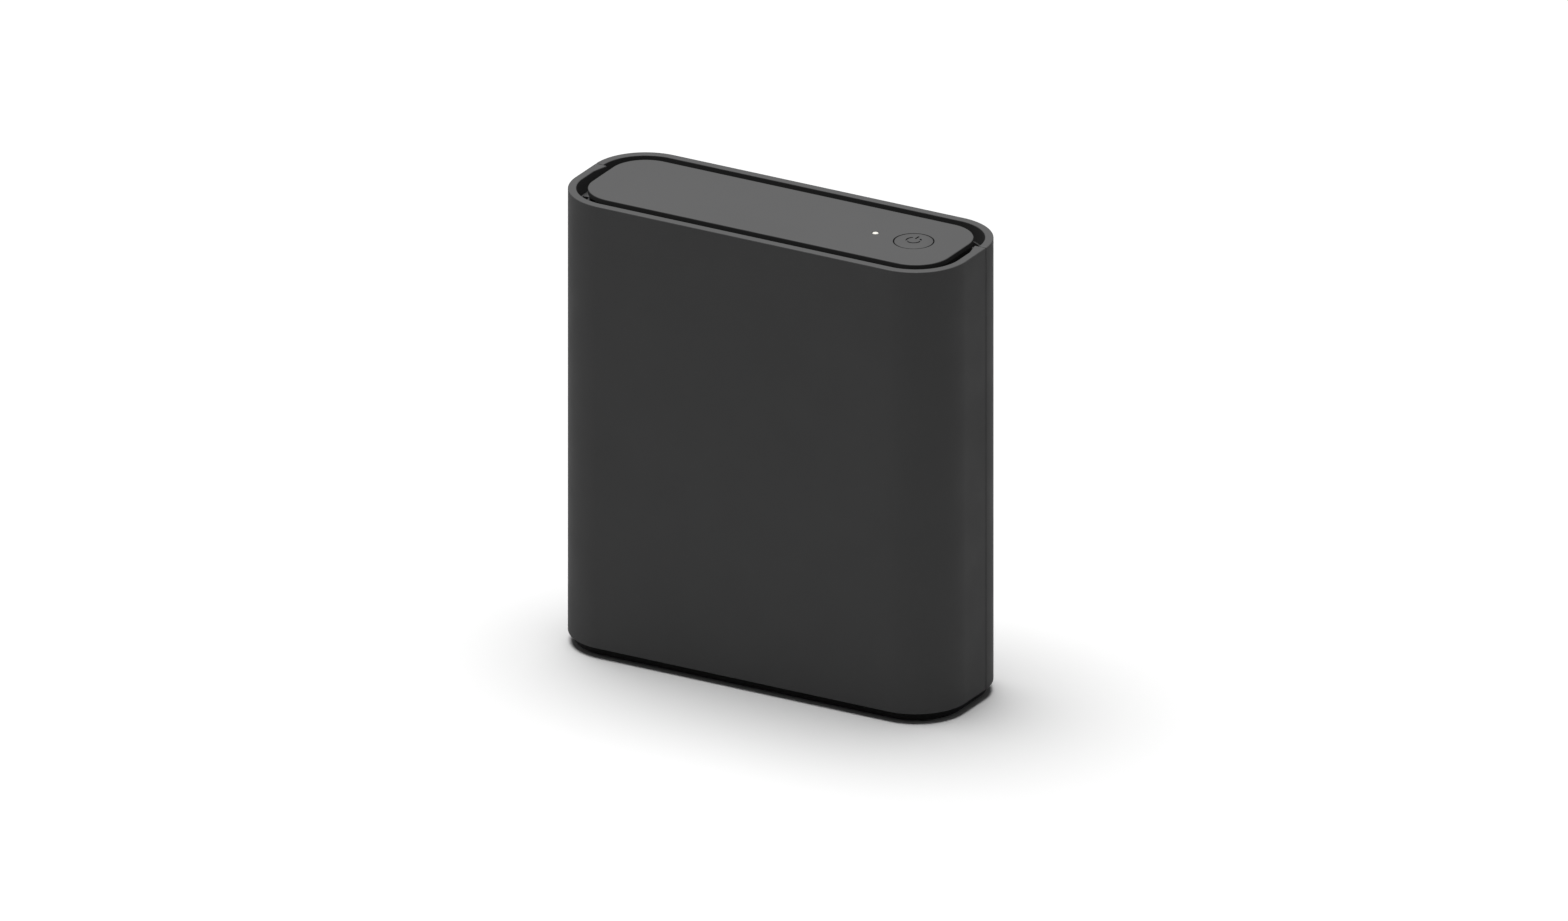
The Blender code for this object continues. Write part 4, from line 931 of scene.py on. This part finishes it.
def contact_wire(x, contacts):
    """One sprung wire: out of the carrier, sloping up, with a bent-over tip."""
    low = contacts[0]
    path = [Vector((x, low.y + 1.0 * MM, low.z + 0.75 * MM))]
    slope, length, radius = math.radians(12), 7.2 * MM, 0.18 * MM
    for i in range(1, 8):
        along = length * i / 7
        path.append(path[0] + Vector((0, along * math.cos(slope), along * math.sin(slope))))
    for i in range(1, 4):
        path.append(path[-1] + Vector((0, 0.16 * MM, -0.07 * MM * i)))
    rings = [[point + Vector((a, 0, b)) for a, b in circle(radius, 10)] for point in path]
    return skinned("wire", rings, capped=True)


def coax_connector():
    """A socket with a real thread round its barrel, a rounded block and a hollow mouth."""
    low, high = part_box("coax_connector")
    centre = middle("coax_nut")
    body = block("coax_block", low, (high.x, SOCKET_SHOULDER, high.z), 0.5 * MM, 3)
    finish_piece(body, "nickel", "case")
    start, end = SOCKET_SHOULDER, high.y
    outer, bore, depth, groove_depth = 4.7 * MM, 3.3 * MM, 7 * MM, 0.42 * MM
    chamfer, run_out, per_pitch = 0.5 * MM, 0.8 * MM, 8
    angles = [2 * math.pi * i / 64 for i in range(64)]

    def ring(radii, y):
        return [(centre.x + r * math.cos(a), y, centre.z + r * math.sin(a)) for r, a in zip(radii, angles)]

    rings = [[(centre.x, start, centre.z)]]
    for row in range(int((end - chamfer - start) / THREAD_PITCH * per_pitch) + 1):
        y = start + row * THREAD_PITCH / per_pitch
        fade = min(1.0, (end - chamfer - y) / run_out, (y - start) / run_out)
        groove = groove_depth * max(0.0, fade)
        phases = [(y / THREAD_PITCH + a / (2 * math.pi)) % 1.0 for a in angles]
        rings.append(ring([outer - groove * abs(2 * phase - 1) for phase in phases], y))
    mouth = ((outer - 0.4 * MM, end), (bore + 0.25 * MM, end), (bore, end - 0.25 * MM), (bore, end - depth))
    rings += [ring([r] * len(angles), y) for r, y in mouth]
    rings.append([(centre.x, end - depth, centre.z)])
    finish_piece(skinned("coax_barrel", rings), "nickel", "case", ["coax_connector"])


def coax_fittings():
    """The hex nut with chamfered corners, and the insulator with a flared hole for the centre contact."""
    low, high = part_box("coax_nut")
    centre = middle("coax_nut")
    radius = (high.x - low.x) / 2
    nut = prism("coax_hex_nut", arc(centre.x, centre.z, radius, 0, 360, 6)[:-1], low.y, high.y, "Y")
    face, drop = radius * 0.9, 0.45 * MM
    thick = high.y - low.y
    wide, hole, at = radius + 0.05 * MM, 4.85 * MM, (centre.x, low.y, centre.z)
    dish = [(0, thick), (face, thick), (wide, thick - drop), (wide, drop), (face, 0), (0, 0)]
    combine(nut, turned("dish", dish, at, ALONG_Y, 72), "INTERSECT")
    bore = [(0, thick + MM), (hole, thick + MM), (hole, -MM), (0, -MM)]
    cut(nut, turned("bore", bore, at, ALONG_Y))
    finish_piece(nut, "nickel", "case", ["coax_nut"], sharp=25)

    low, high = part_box("coax_insulator")
    outer = (high.x - low.x) / 2
    length = high.y - low.y
    hole, lip = 0.55 * MM, 0.5 * MM
    profile = [(hole, length - 0.6 * MM), (0.75 * MM, length - 0.15 * MM)]
    profile += fillet(1.4 * MM, length - lip, lip, 120, 90)
    profile += [(outer - 0.2 * MM, length), (outer, length - 0.2 * MM), (outer, 0), (hole, 0)]
    sleeve = turned("coax_sleeve", profile, (centre.x, low.y, centre.z), ALONG_Y, 48)
    finish_piece(sleeve, "nylon", "case", ["coax_insulator"])


def power_jack():
    """The barrel socket with a rolled lip, and its round-nosed pin."""
    low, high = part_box("power_jack")
    centre = middle("power_jack_pin")
    at = (centre.x, 0, centre.z)
    made = block("power_socket", low, (high.x, SOCKET_SHOULDER, high.z), 0.4 * MM, 3)
    nose, root, outer = high.y, SOCKET_SHOULDER - MM, 4.1 * MM
    profile = [(0, nose), (outer - 0.2 * MM, nose), (outer, nose - 0.2 * MM), (outer, root), (0, root)]
    join(made, turned("nose", profile, at, ALONG_Y))
    floor, mouth, hole = nose - 9.5 * MM, 3.4 * MM, 3.1 * MM
    bore = [(0, nose + MM), (mouth, nose + MM), (mouth, nose)]
    bore += [(hole, nose - 0.3 * MM), (hole, floor), (0, floor)]
    cut(made, turned("bore", bore, at, ALONG_Y))
    finish_piece(made, "jack", "case", ["power_jack"])
    low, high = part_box("power_jack_pin")
    radius, tip = 1.0 * MM, 0.5 * MM
    profile = [(0, high.y)] + fillet(radius - tip, high.y - tip, tip, 90, 0) + [(radius, low.y), (0, low.y)]
    pin = turned("power_socket_pin", profile, at, ALONG_Y, 40)
    finish_piece(pin, "nickel", "case", ["power_jack_pin"])


# ---------------------------------------------------------------- board details


def passives():
    """Small chip resistors and capacitors soldered in loose rows on both faces of the board."""
    rng = random.Random(7)
    casing = ("main_board", "front_shell", "rear_shell", "plinth", "vent_ring", "top_plate")
    areas = [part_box(node) for node in frame["nodes"] if node not in casing]
    tries, wanted, half_span, low_row, high_row, grid = 900, 170, 55, 17, 134, 1.5
    clear, apart_x, apart_z, near_face = 2.4 * MM, 2.6 * MM, 2.2 * MM, 2 * MM
    half, wide, thin, thick = 1.0 * MM, 0.6 * MM, 0.45, 0.8
    ceramic, ends, dark = [], [], []
    placed = []
    for _ in range(tries):
        side = rng.choice((-1, 1))
        x = round(rng.uniform(-half_span, half_span)) * MM
        z = round(rng.uniform(low_row, high_row) / grid) * grid * MM
        face = (BOARD_LOW.y - 0.02 * MM) if side < 0 else (BOARD_HIGH.y + 0.02 * MM)
        blocked = any(
            low.x - clear < x < high.x + clear
            and low.z - clear < z < high.z + clear
            and low.y < face + near_face
            and high.y > face - near_face
            for low, high in areas
        )
        crowded = any(s == side and abs(x - a) < apart_x and abs(z - b) < apart_z for s, a, b in placed)
        if blocked or crowded:
            continue
        placed.append((side, x, z))
        height = rng.choice((thin, thick))
        top = face + side * (height * MM)
        left, right = x - half * 0.72, x + half * 0.72
        body = block("body", (left, face, z - wide), (right, top, z + wide), 0.05 * MM, 1)
        (dark if height == thin else ceramic).append(body)
        for end in (-1, 1):
            a, b = x + end * half * 0.7, x + end * half
            ends.append(block("end", (a, face, z - wide), (b, top, z + wide), 0.06 * MM, 1))
        if len(placed) >= wanted:
            break
    finish_piece(gather("board_resistors", dark), "chip", "case")
    finish_piece(gather("board_capacitors", ceramic), "nylon", "case", finish="ceramic")
    finish_piece(gather("board_solder_ends", ends), "tin", "case")


def chip_leads():
    """Gull-wing leads down the long sides of the flat packages."""
    leads = []
    foot_y = BOARD_LOW.y - 0.03 * MM
    for node, along, pitch in LEADED_CHIPS:
        low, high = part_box(node)
        centre = middle(node)
        span = (high.z - low.z) if along == "Z" else (high.x - low.x)
        count = int((span / MM - 1.2) / pitch) + 1

        def place(side, offset, out, y, w):
            edge = high if side > 0 else low
            if along == "Z":
                return (edge.x + side * out, y, centre.z + offset + w)
            return (centre.x + offset + w, y, edge.z + side * out)

        for i in range(count):
            offset = (i - (count - 1) / 2) * pitch * MM
            leads += [lead(place, side, offset, centre.y, foot_y) for side in (-1, 1)]
    finish_piece(gather("chip_leads", leads), "tin", "case")


def lead(place, side, offset, shoulder_y, foot_y):
    """One bent strip: out of the package, down to the board, and along it."""
    half, thick = 0.17 * MM, 0.06 * MM
    low_y = foot_y - thick
    path = ((0.0, shoulder_y), (0.25 * MM, shoulder_y), (0.5 * MM, low_y), (1.0 * MM, low_y))
    section = ((-thick, -half), (-thick, half), (thick, half), (thick, -half))
    rings = [[place(side, offset, out, y + dy, w) for dy, w in section] for out, y in path]
    return skinned("lead", rings, capped=True)


# ---------------------------------------------------------------- stage


def floor_and_lights():
    bm = bmesh.new()
    bmesh.ops.create_grid(bm, x_segments=2, y_segments=2, size=6.0)
    floor = as_object("floor", bm)
    paint = Finish("floor_paint", 0.9)
    paint.set("Base Color", paint.mix(paint.noise(3.0), (0.445, 0.445, 0.445), (0.455, 0.455, 0.455)))
    paint.set("Specular IOR Level", 0.1)
    floor.data.materials.append(paint.material)

    world = bpy.data.worlds.new("studio")
    bpy.context.scene.world = world
    world.use_nodes = True
    world.node_tree.nodes["Background"].inputs["Color"].default_value = (1, 1, 1, 1)
    world.node_tree.nodes["Background"].inputs["Strength"].default_value = WORLD_STRENGTH

    data = bpy.data.lights.new("overhead", "AREA")
    data.shape, data.size, data.energy = "DISK", LAMP_SIZE, LAMP_POWER
    lamp = bpy.data.objects.new("overhead", data)
    bpy.context.scene.collection.objects.link(lamp)
    lamp.location = LAMP_AT
    lamp.rotation_euler = Vector(LAMP_AT).to_track_quat("Z", "Y").to_euler()


def camera():
    """A long-lens view from the front's right, a little above, as an orthographic camera."""
    turn, tilt = math.radians(VIEW_TURN), math.radians(VIEW_TILT)
    back = Vector((math.sin(turn) * math.cos(tilt), -math.cos(turn) * math.cos(tilt), math.sin(tilt)))
    data = bpy.data.cameras.new("camera")
    data.type = "ORTHO"
    data.ortho_scale = VIEW_WIDTH
    made = bpy.data.objects.new("camera", data)
    bpy.context.scene.collection.objects.link(made)
    right = Vector((math.cos(turn), math.sin(turn), 0))
    aim = Vector((0, 0, AIM_UP)) + right * AIM_RIGHT
    made.location = aim + back * 2.0
    made.rotation_euler = back.to_track_quat("Z", "Y").to_euler()
    data.clip_start, data.clip_end = 0.05, 20.0
    bpy.context.scene.camera = made


# ---------------------------------------------------------------- assembly


def main():
    bpy.context.scene.view_settings.view_transform = "Standard"
    camera()
    floor_and_lights()
    paint_cad_nodes()
    front_shell()
    rear_shell()
    plinth()
    for number in range(1, 5):
        foot(number)
    vent_ring()
    top_plate()
    power_button()
    light_pipe()
    port_tray()
    for number in (1, 2):
        ethernet_jack(number)
    coax_connector()
    coax_fittings()
    power_jack()
    passives()
    chip_leads()


main()
